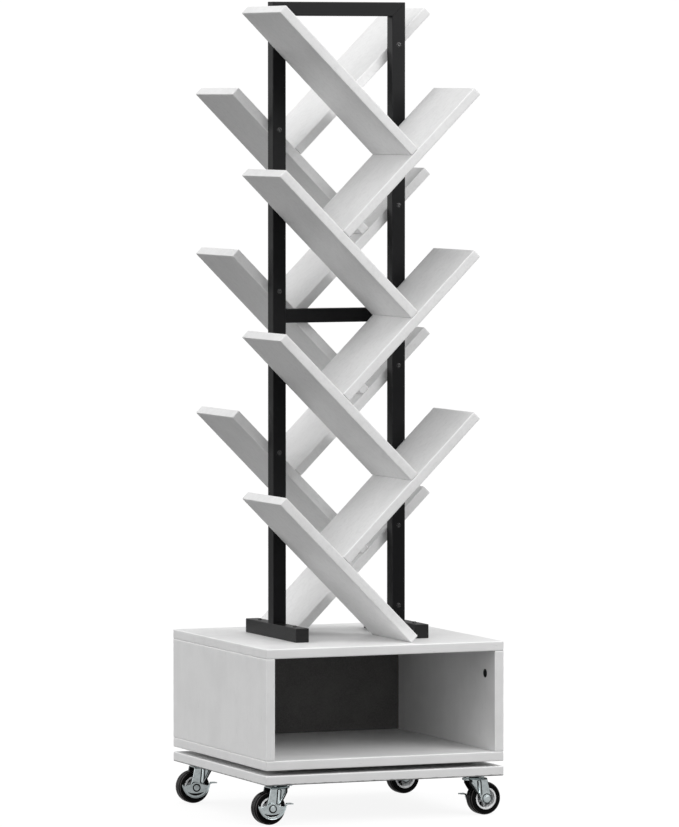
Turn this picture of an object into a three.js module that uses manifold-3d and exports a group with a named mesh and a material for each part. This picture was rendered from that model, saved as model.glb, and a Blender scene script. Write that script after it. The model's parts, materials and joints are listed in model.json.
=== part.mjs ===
import * as THREE from 'three';
import { mergeVertices } from 'three/addons/utils/BufferGeometryUtils.js';
import Module from 'manifold-3d';

// A turning bookshelf shaped like a tree: slanted shelf boards on both sides of a steel frame,
// standing on a low open cabinet that turns on a ball bearing over a base with four casters.
// Millimetres, +Z up, front at -Y, origin on the floor under the middle of the cabinet.

const wasm = await Module();
wasm.setup();

const SINK = 0.5; // how far one part of a solid is let into the next, to join them

// Boards
const BOARD = 15; // thickness of every white board
const BOARD_EDGE = 0.8; // chamfer along the board edges
const JOINT_GAP = 0.3; // glue line where a slanted board ends on another
const TOUCH_GAP = 0.05; // between two faces that touch

// Cabinet
const CABINET_WIDTH = 400;
const CABINET_DEPTH = 400;
const CABINET_OPENING = 158; // clear height of the compartment
const BACK_PANEL = 6;
const BACK_SETBACK = 8; // rear faces of the side boards stand past the panel by this
const CAM_RADIUS = 6.8;
const CAM_INSET = 38; // from the front edge, and from the top board down
const CAM_PROUD = 1.2;
const CAM_BEVEL = 0.8;
const CAM_SLOT = 1.4; // width of the cross slot, cut half through the cap
const CAM_SLOT_LENGTH = 7.5;

// Slanted shelves
const LEVELS = 4; // boards that fall towards the middle of each set, the lowest one standing
const SHELF_LENGTH = 313;
const SHELF_DEPTH = 160;
const LEVEL_PITCH = 253; // from one board to the next of the same slant
const SET_SHIFT = 3.5; // each set sits this far to one side of the middle
const SLANT = Math.PI / 4;

// Steel frame
const TUBE = 22;
const TUBE_WALL = 1.5;
const TUBE_ROUND = 1;
const BORE_CORNER = 0.4;
const FRAME_WIDTH = 225;
const FRAME_RISE = 18.2; // frame top over the tip of the highest shelf
const CROSSBAR_DROP = 481; // top of the crossbar under the top of the frame
const FOOT_LENGTH = 212;
const FOOT_CAP = 2;
const FOOT_PLUG = 9;
const PLUG_CLEARANCE = 0.3;
const PLUG_CORNER = 1;
const MITRE_GAP = 0.02;
const FOOT_SCREW_Y = 74;
const UPRIGHT_SCREW_RISE = 23; // lowest upright screw over the foot
const SHELF_SCREW_RISE = 4; // shelf screws over the middle line of their boards
const SCREW_HEAD_RADIUS = 4;
const SCREW_HEAD_HEIGHT = 2.2;
const SCREW_SOCKET = 1.9;
const SCREW_SEAT = 0.3; // how far a head is let into what it holds
const PLATE_SCREW_HEIGHT = 1.5; // heads on the bearing and caster plates
const PLATE_SCREW_RADIUS = 3.4; // on the caster plates

// Turntable bearing
const TURNTABLE_GAP = 8; // between the base board and the cabinet
const BEARING_SIZE = 150;
const BEARING_CORNER = 12;
const BEARING_SHEET = 1.2;
const BEARING_HOLE = 28;
const BALL_CIRCLE = 55;
const BALL_RADIUS = 2.4;
const BALL_COUNT = 12;
const BALL_CLEARANCE = 0.6;
const RACE_HALF_WIDTH = 6;
const RACE_LIP = 1.2; // gap from the race lips to the balls' middle plane
const RACE_DRAFT = 0.6; // slant of the race walls
const CAGE_HALF_WIDTH = 3.6;
const CAGE_SHEET = 1;
const BEARING_SCREW_INSET = 13;

// Casters
const WHEEL_RADIUS = 26;
const WHEEL_WIDTH = 21;
const WHEEL_HEADROOM = 12; // from the top of the wheel to the base board
const CASTER_TRAIL = 20; // axle behind the swivel pin
const CASTER_INSET = 38; // swivel pin from the edges of the base board
const RIM_RADIUS = 17.4;
const RIM_WALL = 2.4;
const RIM_PROUD = 0.5; // how far the rim stands out of the tyre at each side
const TYRE_SHOULDER = 4.5;
const TYRE_LIP = 1.6; // flat ring of the tyre beside the rim
const HUB_RADIUS = 6.2;
const SPOKES = 6;
const SPOKE_WIDTH = 3.4;
const SPOKE_HALF_DEPTH = 3.6;
const SPOKE_ROOT = 1; // length of a spoke inside the rim and inside the boss
const AXLE_RADIUS = 3;
const AXLE_CLEARANCE = 0.2;
const AXLE_HEAD_RADIUS = 5.3;
const AXLE_FLANGE = 1; // washer rolled onto the bolt on the side without a brake
const AXLE_FLANGE_RADIUS = 6.3;
const AXLE_HEAD = 3;
const AXLE_HEAD_BEVEL = 0.8;
const FORK_SHEET = 2;
const FORK_SIDE_GAP = 1.2; // tyre to fork leg
const FORK_REAR = 1; // top of a leg behind the axle
const FORK_BROW = 8.5; // straight front edge of a leg under the crown's upper face
const FORK_END = 8; // radius of the leg around the axle
const FORK_RIB = 1.8; // height of the pressed ribs
const FORK_RIB_WIDTH = 4.4;
const FORK_RIB_SLOPE = 0.45; // part of a rib's height that is bevelled
const RIB_TOP_AHEAD = 12; // upright rib in front of the axle, at the crown
const RIB_END_AHEAD = 9.6; // and at its lower end
const RIB_END_RISE = 3.5; // lower end of the upright rib over the axle
const FOLD_WIDTH = 2.4; // folded edge along the slanting front of a leg
const FOLD_REACH = 0.7; // part of the slanting front that is folded
const CROWN_SHEET = 2.5;
const CROWN_RADIUS = 16.3; // round front of the crown, about the swivel pin
const CROWN_BOSS_RADIUS = 12;
const CROWN_BOSS = 1;
const CROWN_BOSS_DRAFT = 1.5;
const MOUNT_SIZE = 36;
const MOUNT_CORNER = 4;
const MOUNT_SHEET = 2.5;
const MOUNT_SCREW_INSET = 5.2;
const SWIVEL_RACE = 1.6;
const SWIVEL_RACE_DRAFT = 2;
const SWIVEL_GAP = 0.3;
const PIN_RADIUS = 4;
const PIN_HEAD_RADIUS = 6.5;
const PIN_HEAD = 2.6;
const PIN_HEAD_TAPER = 0.75; // end of the pin's head, as a share of its radius
const BRAKE_SHEET = 1.2;
const BRAKE_REACH = 23.5; // half the span of the crescent
const BRAKE_TOP = 5.5; // crescent tips over the axle
const BRAKE_DROP = 17; // crescent bottom under the axle
const BRAKE_DIP_X = 19.5; // hollow beside each tip
const BRAKE_DIP = 2.4; // height of that hollow over the axle
const BRAKE_BOSS = 8.5;
const BRAKE_BOSS_SPREAD = 0.85; // boss arc ends this far over the level, in radians
const BRAKE_RIM = 4.2; // from the slot to the lower edge
const BRAKE_SLOT = 2.6; // height of the slot in the middle
const BRAKE_SLOT_SPREAD = 0.75; // slot to each side of the middle, in radians
const BRAKE_LIP = 1.6;
const BRAKE_LIP_END = 0.12; // rolled edge stops short of the tips by this, in radians
const BRAKE_ARM_ROOT = 2; // how far the tab's arm runs into the crescent
const BRAKE_TAB_LENGTH = 12;
const BRAKE_TAB_FLAT = 9;
const BRAKE_TAB_WIDTH = 12;
const BRAKE_TAB_RISE = 7.6;
const BRAKE_GAP = 0.4;

// Way each wheel trails from its pin, in degrees from +X
const TRAIL_FRONT_LEFT = 182;
const TRAIL_BACK_LEFT = 179.5;
const TRAIL_FRONT_RIGHT = 1.5;
const TRAIL_BACK_RIGHT = 1;

const ROUND = 24; // facets of a wheel
const RACE_ROUND = 20; // facets of the bearing
const SMALL_ROUND = 10; // facets of an axle, a pin and their bores
const TINY_ROUND = 8; // facets of a screw head
const BALL_ROUND = 6; // facets round a bearing ball

// Sizes that follow
const CASTER_HEIGHT = 2 * WHEEL_RADIUS + WHEEL_HEADROOM;
const BASE_TOP = CASTER_HEIGHT + BOARD;
const CABINET_BOTTOM = BASE_TOP + TURNTABLE_GAP;
const OPENING_BOTTOM = CABINET_BOTTOM + BOARD;
const OPENING_TOP = OPENING_BOTTOM + CABINET_OPENING;
const CABINET_TOP = OPENING_TOP + BOARD;
const SIDE_X = CABINET_WIDTH / 2 - BOARD;
const FOOT_TOP = CABINET_TOP + TUBE;
const SHELF_RUN = SHELF_LENGTH * Math.cos(SLANT);
const SHELF_FALL = SHELF_LENGTH * Math.sin(SLANT);
const TIP_X = SHELF_RUN + BOARD * Math.sin(SLANT) - LEVEL_PITCH / 4;
const EDGE_REST = BOARD_EDGE * Math.sin(SLANT);
const REST_RISE = JOINT_GAP * (1 - Math.sin(SLANT)); // keeps the same gap under the lowest board
const TIP_TOP = CABINET_TOP + (LEVELS - 1) * LEVEL_PITCH + SHELF_FALL - EDGE_REST + REST_RISE;
const FRAME_TOP = TIP_TOP + FRAME_RISE;
const UPRIGHT_X = (FRAME_WIDTH - TUBE) / 2;

const white = new THREE.MeshStandardMaterial({ color: 0xe9e8e5, roughness: 0.45, metalness: 0 });
const slate = new THREE.MeshStandardMaterial({ color: 0x2a2a2c, roughness: 0.6, metalness: 0 });
const black = new THREE.MeshStandardMaterial({ color: 0x17181a, roughness: 0.4, metalness: 0.35 });
const plug = new THREE.MeshStandardMaterial({ color: 0x141415, roughness: 0.55, metalness: 0 });
const zinc = new THREE.MeshStandardMaterial({ color: 0x9ba6aa, roughness: 0.3, metalness: 0.85 });
const rubber = new THREE.MeshStandardMaterial({ color: 0x131313, roughness: 0.65, metalness: 0 });
const hubGrey = new THREE.MeshStandardMaterial({ color: 0xb9bec0, roughness: 0.4, metalness: 0.2 });

const object = new THREE.Group();

// Shared vertices merged, triangles of no area dropped, faces turned outwards.
function closedMesh(geometry) {
  const bare = geometry.index ? geometry.clone() : geometry;
  bare.deleteAttribute('normal');
  bare.deleteAttribute('uv');
  const merged = mergeVertices(bare, 1e-4);
  const source = merged.index.array;
  const kept = [];
  for (let i = 0; i < source.length; i += 3) {
    const [a, b, c] = [source[i], source[i + 1], source[i + 2]];
    if (a !== b && b !== c && c !== a) kept.push(a, b, c);
  }
  merged.setIndex(kept);
  if (signedVolume(merged) < 0) {
    for (let i = 0; i < kept.length; i += 3) {
      [kept[i + 1], kept[i + 2]] = [kept[i + 2], kept[i + 1]];
    }
    merged.setIndex(kept);
  }
  return merged;
}

function signedVolume(geometry) {
  const position = geometry.attributes.position;
  const index = geometry.index.array;
  const [a, b, c] = [new THREE.Vector3(), new THREE.Vector3(), new THREE.Vector3()];
  let volume = 0;
  for (let i = 0; i < index.length; i += 3) {
    a.fromBufferAttribute(position, index[i]);
    b.fromBufferAttribute(position, index[i + 1]);
    c.fromBufferAttribute(position, index[i + 2]);
    volume += a.dot(b.cross(c)) / 6;
  }
  return volume;
}

function toSolid(geometry) {
  const closed = closedMesh(geometry);
  return new wasm.Manifold(new wasm.Mesh({
    numProp: 3,
    vertProperties: new Float32Array(closed.attributes.position.array),
    triVerts: new Uint32Array(closed.index.array),
  }));
}

function toGeometry(solid) {
  const mesh = solid.getMesh();
  const geometry = new THREE.BufferGeometry();
  geometry.setAttribute('position', new THREE.BufferAttribute(mesh.vertProperties.slice(), 3));
  geometry.setIndex(new THREE.BufferAttribute(mesh.triVerts.slice(), 1));
  return geometry;
}

const join = (...geometries) => toGeometry(
  geometries.map(toSolid).reduce((whole, piece) => whole.add(piece)),
);
const cut = (geometry, ...tools) => toGeometry(
  tools.map(toSolid).reduce((whole, tool) => whole.subtract(tool), toSolid(geometry)),
);

function addPiece(parent, name, geometry, material, x = 0, y = 0, z = 0) {
  const closed = closedMesh(geometry);
  closed.computeVertexNormals();
  const mesh = new THREE.Mesh(closed, material);
  mesh.name = name;
  mesh.position.set(x, y, z);
  parent.add(mesh);
  return mesh;
}

// Rectangle about the origin with cut or rounded corners.
function panelShape(width, height, corner, rounded = false) {
  const [x, y] = [width / 2, height / 2];
  const shape = new THREE.Shape();
  const corners = [[x, -y, -1, 0, 0, 1], [x, y, 0, -1, -1, 0], [-x, y, 1, 0, 0, -1], [-x, -y, 0, 1, 1, 0]];
  corners.forEach(([cx, cy, inX, inY, outX, outY], side) => {
    const start = [cx + inX * corner, cy + inY * corner];
    if (side === 0) shape.moveTo(...start);
    else shape.lineTo(...start);
    const end = [cx + outX * corner, cy + outY * corner];
    if (rounded) shape.quadraticCurveTo(cx, cy, ...end);
    else shape.lineTo(...end);
  });
  shape.closePath();
  return shape;
}

// Rectangle about the origin with square corners.
function rectangle(width, height) {
  const [x, y] = [width / 2, height / 2];
  const corners = [[x, -y], [x, y], [-x, y], [-x, -y]];
  return new THREE.Shape(corners.map((corner) => new THREE.Vector2(...corner)));
}

// Board lying flat about the origin, every edge chamfered.
function boardGeometry(width, depth, thickness) {
  const geometry = new THREE.ExtrudeGeometry(panelShape(width, thickness, BOARD_EDGE), {
    depth: depth - 2 * BOARD_EDGE,
    bevelEnabled: true,
    bevelThickness: BOARD_EDGE,
    bevelSize: BOARD_EDGE,
    bevelOffset: -BOARD_EDGE,
    bevelSegments: 1,
  });
  geometry.translate(0, 0, BOARD_EDGE - depth / 2);
  return geometry.rotateX(Math.PI / 2);
}

// Plain extrusion of a shape drawn in X and Y, rising along Z from zero.
const rise = (shape, height, steps = 4) => new THREE.ExtrudeGeometry(shape, {
  depth: height,
  bevelEnabled: false,
  curveSegments: steps,
});

// Extrusion of a shape drawn in X and Z, from y = start towards +Y.
function across(shape, start, width, steps = 6) {
  return rise(shape, width, steps).rotateX(Math.PI / 2).translate(0, start + width, 0);
}

// Solid of revolution about Z from [radius, height] points.
function turned(points, facets) {
  const profile = points.map(([radius, height]) => new THREE.Vector2(radius, height));
  return new THREE.LatheGeometry(profile, facets).rotateX(Math.PI / 2);
}

// Ring of rectangular section about Z.
const ring = (inner, outer, low, high, facets) => turned(
  [[inner, low], [outer, low], [outer, high], [inner, high], [inner, low]],
  facets,
);

// Closed disc about Z.
const disc = (radius, low, high, facets) => turned(
  [[0, low], [radius, low], [radius, high], [0, high]],
  facets,
);

// Low round head of a screw that fixes a plate, standing up from z = 0.
const panHead = (radius, height) => turned([
  [0, -SCREW_SEAT],
  [radius, -SCREW_SEAT],
  [radius * 0.7, height],
  [0, height],
], TINY_ROUND);

// Button head with a six-sided socket, standing up from z = 0.
function screwHead() {
  const dome = panHead(SCREW_HEAD_RADIUS, SCREW_HEAD_HEIGHT);
  return cut(dome, disc(SCREW_SOCKET, SCREW_HEAD_HEIGHT * 0.4, SCREW_HEAD_HEIGHT * 2, 6));
}

// Square tube along Z from zero, rounded outside and open at both ends.
function tubeGeometry(length) {
  const shape = panelShape(TUBE, TUBE, TUBE_ROUND, true);
  const bore = TUBE - 2 * TUBE_WALL;
  shape.holes.push(panelShape(bore, bore, BORE_CORNER));
  return rise(shape, length, 2);
}

// Everything on one side of a plane through a point.
function trimmed(geometry, normal, point) {
  const direction = new THREE.Vector3(...normal).normalize();
  const offset = direction.dot(new THREE.Vector3(...point));
  return toGeometry(toSolid(geometry).trimByPlane(direction.toArray(), offset));
}

function buildBase() {
  const z = CASTER_HEIGHT + BOARD / 2;
  addPiece(object, 'base_board', boardGeometry(CABINET_WIDTH, CABINET_DEPTH, BOARD), white, 0, 0, z);
}

// Pressed square plate with a raised ball race, lying on z = 0 and facing up.
function bearingPlate() {
  const shape = panelShape(BEARING_SIZE, BEARING_SIZE, BEARING_CORNER, true);
  const hole = new THREE.Path();
  hole.absarc(0, 0, BEARING_HOLE, 0, 2 * Math.PI, true);
  shape.holes.push(hole);
  const middle = TURNTABLE_GAP / 2;
  const lip = middle - RACE_LIP;
  const groove = BALL_RADIUS + BALL_CLEARANCE;
  const half = Math.asin(RACE_LIP / groove);
  const profile = [
    [BALL_CIRCLE - RACE_HALF_WIDTH, BEARING_SHEET / 2],
    [BALL_CIRCLE + RACE_HALF_WIDTH, BEARING_SHEET / 2],
    [BALL_CIRCLE + RACE_HALF_WIDTH - RACE_DRAFT, lip],
  ];
  for (let step = 0; step <= 3; step += 1) {
    const angle = -half - (step / 3) * (Math.PI - 2 * half);
    profile.push([BALL_CIRCLE + groove * Math.cos(angle), middle + groove * Math.sin(angle)]);
  }
  profile.push([BALL_CIRCLE - RACE_HALF_WIDTH + RACE_DRAFT, lip]);
  profile.push([BALL_CIRCLE - RACE_HALF_WIDTH, BEARING_SHEET / 2]);
  const corner = BEARING_SIZE / 2 - BEARING_SCREW_INSET;
  const screws = [[1, 1], [1, -1], [-1, 1], [-1, -1]].map(
    ([x, y]) => panHead(SCREW_HEAD_RADIUS, PLATE_SCREW_HEIGHT)
      .translate(x * corner, y * corner, BEARING_SHEET),
  );
  return join(rise(shape, BEARING_SHEET, 8), turned(profile, RACE_ROUND), ...screws);
}

// Thin ring that spaces the balls, with the balls seated in it.
function ballCage() {
  const balls = [];
  for (let i = 0; i < BALL_COUNT; i += 1) {
    const angle = (2 * Math.PI * i) / BALL_COUNT;
    const ball = new THREE.SphereGeometry(BALL_RADIUS, BALL_ROUND, BALL_ROUND / 2).rotateX(Math.PI / 2);
    balls.push(ball.translate(BALL_CIRCLE * Math.cos(angle), BALL_CIRCLE * Math.sin(angle), 0));
  }
  const [inner, outer] = [BALL_CIRCLE - CAGE_HALF_WIDTH, BALL_CIRCLE + CAGE_HALF_WIDTH];
  return join(ring(inner, outer, -CAGE_SHEET / 2, CAGE_SHEET / 2, RACE_ROUND), ...balls);
}

function buildTurntable() {
  addPiece(object, 'turntable_lower', bearingPlate(), zinc, 0, 0, BASE_TOP);
  addPiece(object, 'turntable_cage', ballCage(), zinc, 0, 0, BASE_TOP + TURNTABLE_GAP / 2);
  const upper = bearingPlate().rotateX(Math.PI);
  addPiece(object, 'turntable_upper', upper, zinc, 0, 0, CABINET_BOTTOM);
}

// Shallow round cap with a cross slot, standing on z = 0.
function camCap() {
  const cap = turned([
    [0, 0],
    [CAM_RADIUS, 0],
    [CAM_RADIUS, CAM_PROUD / 2],
    [CAM_RADIUS - CAM_BEVEL, CAM_PROUD],
    [0, CAM_PROUD],
  ], SMALL_ROUND);
  const bar = new THREE.BoxGeometry(CAM_SLOT_LENGTH, CAM_SLOT, CAM_PROUD);
  const slot = join(bar, bar.clone().rotateZ(Math.PI / 2)).translate(0, 0, CAM_PROUD);
  return cut(cap, slot);
}

function buildCabinet() {
  const lid = boardGeometry(CABINET_WIDTH, CABINET_DEPTH, BOARD);
  addPiece(object, 'cabinet_bottom', lid, white, 0, 0, CABINET_BOTTOM + BOARD / 2);
  addPiece(object, 'cabinet_top', lid.clone(), white, 0, 0, OPENING_TOP + BOARD / 2);
  const side = boardGeometry(CABINET_OPENING, CABINET_DEPTH, BOARD).rotateY(Math.PI / 2);
  const sideX = SIDE_X + BOARD / 2;
  const middle = (OPENING_BOTTOM + OPENING_TOP) / 2;
  addPiece(object, 'cabinet_left', side, white, -sideX, 0, middle);
  addPiece(object, 'cabinet_right', side.clone(), white, sideX, 0, middle);
  const back = new THREE.BoxGeometry(2 * SIDE_X, BACK_PANEL, CABINET_OPENING);
  const backY = CABINET_DEPTH / 2 - BACK_SETBACK - BACK_PANEL / 2;
  addPiece(object, 'cabinet_back', back, slate, 0, backY, middle);
  const camY = CAM_INSET - CABINET_DEPTH / 2;
  const camZ = OPENING_TOP - CAM_INSET;
  const camX = SIDE_X - TOUCH_GAP;
  addPiece(object, 'cam_cap_left', camCap().rotateY(Math.PI / 2), plug, -camX, camY, camZ);
  addPiece(object, 'cam_cap_right', camCap().rotateY(-Math.PI / 2), plug, camX, camY, camZ);
}

// Height of the middle of a slanted board where it crosses an upright, under the board's tip.
function crossingDrop(tipX) {
  return tipX - UPRIGHT_X - BOARD / 2 / Math.cos(SLANT);
}

// Screw heights on one face of an upright, where the boards behind or before it cross.
function crossingHeights(tipX, tipZ, count) {
  const heights = [];
  for (let level = 0; level < count; level += 1) {
    heights.push(tipZ - level * LEVEL_PITCH - crossingDrop(tipX) + SHELF_SCREW_RISE);
  }
  return heights;
}

// Right-hand upright; its front face holds the rear boards and its rear face the front ones.
function uprightGeometry() {
  const length = FRAME_TOP - FOOT_TOP;
  const mitred = trimmed(tubeGeometry(length), [1, 0, -1], [TUBE / 2, 0, length - MITRE_GAP]);
  const front = crossingHeights(TIP_X - SET_SHIFT, TIP_TOP, LEVELS);
  front.push(FOOT_TOP + UPRIGHT_SCREW_RISE);
  const rear = crossingHeights(TIP_X + SET_SHIFT, TIP_TOP - LEVEL_PITCH / 2, LEVELS - 1);
  const heads = front.map((z) => screwHead().rotateX(Math.PI / 2)
    .translate(0, -TUBE / 2, z - FOOT_TOP));
  const tails = rear.map((z) => screwHead().rotateX(-Math.PI / 2)
    .translate(0, TUBE / 2, z - FOOT_TOP));
  return join(mitred, ...heads, ...tails);
}

// Top bar along X, mitred at both ends.
function topBarGeometry() {
  const bar = tubeGeometry(FRAME_WIDTH).rotateY(Math.PI / 2).translate(-FRAME_WIDTH / 2, 0, 0);
  const end = [FRAME_WIDTH / 2 - MITRE_GAP, 0, TUBE / 2];
  const right = trimmed(bar, [-1, 0, 1], end);
  return trimmed(right, [1, 0, 1], [-end[0], 0, end[2]]);
}

// Foot along Y with its two fixing screws.
function footGeometry() {
  const length = FOOT_LENGTH - 2 * FOOT_CAP;
  const tube = tubeGeometry(length).rotateX(-Math.PI / 2).translate(0, -length / 2, 0);
  const heads = [-FOOT_SCREW_Y, FOOT_SCREW_Y].map((y) => screwHead().translate(0, y, TUBE / 2));
  return join(tube, ...heads);
}

// End cap with its plug, closing a tube that ends at y = 0 and runs towards +Y.
function footCapGeometry() {
  const face = across(panelShape(TUBE, TUBE, TUBE_ROUND, true), -FOOT_CAP, FOOT_CAP, 3);
  const width = TUBE - 2 * TUBE_WALL - 2 * PLUG_CLEARANCE;
  return join(face, across(panelShape(width, width, PLUG_CORNER), -FOOT_CAP / 2, FOOT_PLUG));
}

function buildFrame() {
  const upright = uprightGeometry();
  addPiece(object, 'upright_right', upright, black, UPRIGHT_X, 0, FOOT_TOP);
  addPiece(object, 'upright_left', upright.clone().rotateZ(Math.PI), black, -UPRIGHT_X, 0, FOOT_TOP);
  addPiece(object, 'top_bar', topBarGeometry(), black, 0, 0, FRAME_TOP - TUBE / 2);
  const span = FRAME_WIDTH - 2 * TUBE;
  const crossbar = tubeGeometry(span).rotateY(Math.PI / 2).translate(-span / 2, 0, 0);
  addPiece(object, 'crossbar', crossbar, black, 0, 0, FRAME_TOP - CROSSBAR_DROP - TUBE / 2);
  const z = CABINET_TOP + TUBE / 2;
  const end = FOOT_LENGTH / 2 - FOOT_CAP;
  for (const [side, x] of [['left', -UPRIGHT_X], ['right', UPRIGHT_X]]) {
    addPiece(object, `foot_${side}`, footGeometry(), black, x, 0, z);
    addPiece(object, `foot_cap_${side}_front`, footCapGeometry(), plug, x, -end, z);
    addPiece(object, `foot_cap_${side}_back`, footCapGeometry().rotateZ(Math.PI), plug, x, end, z);
  }
}

// One slanted shelf: its tip's lower corner at the origin, falling towards +X, deep towards +Y.
function shelfGeometry() {
  const length = SHELF_LENGTH - JOINT_GAP;
  return boardGeometry(length, SHELF_DEPTH, BOARD).translate(length / 2, SHELF_DEPTH / 2, BOARD / 2);
}

// A set of shelves in front of the frame: boards from the left and the right in turn,
// each ending square on the next one down, and the lowest standing on the cabinet.
function buildShelfSet(set, left, right) {
  const y = -TUBE / 2 - SHELF_DEPTH;
  for (let level = 0; level < LEVELS; level += 1) {
    const z = TIP_TOP - level * LEVEL_PITCH;
    const falling = addPiece(set, `${left}_${level + 1}`, shelfGeometry(), white);
    falling.position.set(SET_SHIFT - TIP_X, y, z);
    falling.rotation.y = SLANT;
    if (level === LEVELS - 1) continue;
    const rising = addPiece(set, `${right}_${level + 1}`, shelfGeometry(), white);
    rising.position.set(SET_SHIFT + TIP_X, y + SHELF_DEPTH, z - LEVEL_PITCH / 2);
    rising.rotation.set(0, SLANT, Math.PI, 'ZYX');
  }
}

function buildShelves() {
  const front = new THREE.Group();
  buildShelfSet(front, 'front_shelf_left', 'front_shelf_right');
  const back = new THREE.Group();
  buildShelfSet(back, 'back_shelf_right', 'back_shelf_left');
  back.rotation.z = Math.PI;
  object.add(front, back);
}

// Point where a line from an outside point touches a circle, on its left or right side.
function tangentPoint(from, centre, radius, side) {
  const [dx, dy] = [from[0] - centre[0], from[1] - centre[1]];
  const angle = Math.atan2(dy, dx) + side * Math.acos(radius / Math.hypot(dx, dy));
  return [centre[0] + radius * Math.cos(angle), centre[1] + radius * Math.sin(angle), angle];
}

// Caster pieces: swivel pin on Z, wheel trailing towards +X, board above at z = CASTER_HEIGHT.
const AXLE = [CASTER_TRAIL, WHEEL_RADIUS];
const MOUNT_BOTTOM = CASTER_HEIGHT - MOUNT_SHEET;
const RACE_BOTTOM = MOUNT_BOTTOM - SWIVEL_RACE;
const CROWN_TOP = RACE_BOTTOM - SWIVEL_GAP - CROWN_BOSS;
const CROWN_BOTTOM = CROWN_TOP - CROWN_SHEET;
const LEG_INSIDE = WHEEL_WIDTH / 2 + FORK_SIDE_GAP;
const LEG_OUTSIDE = LEG_INSIDE + FORK_SHEET;
const LEG_BROW = [-Math.sqrt(CROWN_RADIUS ** 2 - LEG_OUTSIDE ** 2), CROWN_TOP - FORK_BROW];
const BRAKE_INSIDE = LEG_OUTSIDE + FORK_RIB + BRAKE_GAP;
const BRAKE_OUTSIDE = BRAKE_INSIDE + BRAKE_SHEET;

// Plate under the base board with its ball race, its screws and the riveted swivel pin.
function mountGeometry() {
  const plate = rise(panelShape(MOUNT_SIZE, MOUNT_SIZE, MOUNT_CORNER, true), MOUNT_SHEET, 3)
    .translate(0, 0, MOUNT_BOTTOM);
  const race = turned([
    [0, RACE_BOTTOM],
    [CROWN_BOSS_RADIUS, RACE_BOTTOM],
    [CROWN_BOSS_RADIUS + SWIVEL_RACE_DRAFT, MOUNT_BOTTOM + SINK],
    [0, MOUNT_BOTTOM + SINK],
  ], SMALL_ROUND);
  const headTop = CROWN_BOTTOM - SWIVEL_GAP;
  const pin = turned([
    [0, headTop - PIN_HEAD],
    [PIN_HEAD_RADIUS * PIN_HEAD_TAPER, headTop - PIN_HEAD],
    [PIN_HEAD_RADIUS, headTop],
    [PIN_RADIUS, headTop],
    [PIN_RADIUS, RACE_BOTTOM + SINK],
    [0, RACE_BOTTOM + SINK],
  ], SMALL_ROUND);
  const corner = MOUNT_SIZE / 2 - MOUNT_SCREW_INSET;
  const screws = [[1, 1], [1, -1], [-1, 1], [-1, -1]].map(
    ([x, y]) => panHead(PLATE_SCREW_RADIUS, PLATE_SCREW_HEIGHT)
      .rotateX(Math.PI).translate(x * corner, y * corner, MOUNT_BOTTOM),
  );
  return join(plate, race, pin, ...screws);
}

// Side outline of a fork leg: upright under the crown, then slanting in to the axle.
function legShape() {
  const top = CROWN_BOTTOM + CROWN_SHEET / 2;
  const front = tangentPoint(LEG_BROW, AXLE, FORK_END, 1);
  const rearTop = [CASTER_TRAIL + FORK_REAR, top];
  const rear = tangentPoint(rearTop, AXLE, FORK_END, -1);
  const shape = new THREE.Shape();
  shape.moveTo(LEG_BROW[0], top);
  shape.lineTo(...LEG_BROW);
  shape.lineTo(front[0], front[1]);
  shape.absarc(AXLE[0], AXLE[1], FORK_END, front[2], rear[2] + 2 * Math.PI, false);
  shape.lineTo(...rearTop);
  shape.closePath();
  return shape;
}

// Pressed strip on the outer face of a leg, between two points of its side view.
function ribGeometry(from, to, width) {
  const length = Math.hypot(to[0] - from[0], to[1] - from[1]);
  const bevel = FORK_RIB * FORK_RIB_SLOPE;
  const strip = new THREE.ExtrudeGeometry(rectangle(length, width), {
    depth: FORK_RIB - bevel + SINK,
    bevelEnabled: true,
    bevelThickness: bevel,
    bevelSize: bevel,
    bevelOffset: -bevel,
    bevelSegments: 1,
  });
  strip.translate(0, 0, -SINK).rotateX(-Math.PI / 2);
  strip.rotateY(-Math.atan2(to[1] - from[1], to[0] - from[0]));
  return strip.translate((from[0] + to[0]) / 2, LEG_OUTSIDE, (from[1] + to[1]) / 2);
}

// Folded edge along the slanting front of a leg, set in by half its own width.
function foldGeometry() {
  const end = tangentPoint(LEG_BROW, AXLE, FORK_END, 1);
  const run = [(end[0] - LEG_BROW[0]) * FOLD_REACH, (end[1] - LEG_BROW[1]) * FOLD_REACH];
  const length = Math.hypot(...run);
  const inset = [(-run[1] * FOLD_WIDTH) / 2 / length, (run[0] * FOLD_WIDTH) / 2 / length];
  const from = [LEG_BROW[0] + inset[0], LEG_BROW[1] + inset[1]];
  return ribGeometry(from, [from[0] + run[0], from[1] + run[1]], FOLD_WIDTH);
}

// Outer leg with its upright rib and its folded front edge.
function legGeometry() {
  const leg = across(legShape(), LEG_INSIDE, FORK_SHEET, 4);
  const upright = ribGeometry(
    [CASTER_TRAIL - RIB_TOP_AHEAD, CROWN_BOTTOM],
    [CASTER_TRAIL - RIB_END_AHEAD, WHEEL_RADIUS + RIB_END_RISE],
    FORK_RIB_WIDTH,
  );
  return join(leg, upright, foldGeometry());
}

// Crown seen from above: round about the swivel pin in front, straight behind.
function crownShape() {
  const rear = CASTER_TRAIL + FORK_REAR;
  const spread = Math.asin(LEG_OUTSIDE / CROWN_RADIUS);
  const shape = new THREE.Shape();
  shape.moveTo(rear, -LEG_OUTSIDE);
  shape.lineTo(rear, LEG_OUTSIDE);
  shape.absarc(0, 0, CROWN_RADIUS, Math.PI - spread, Math.PI + spread, false);
  shape.closePath();
  return shape;
}

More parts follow.
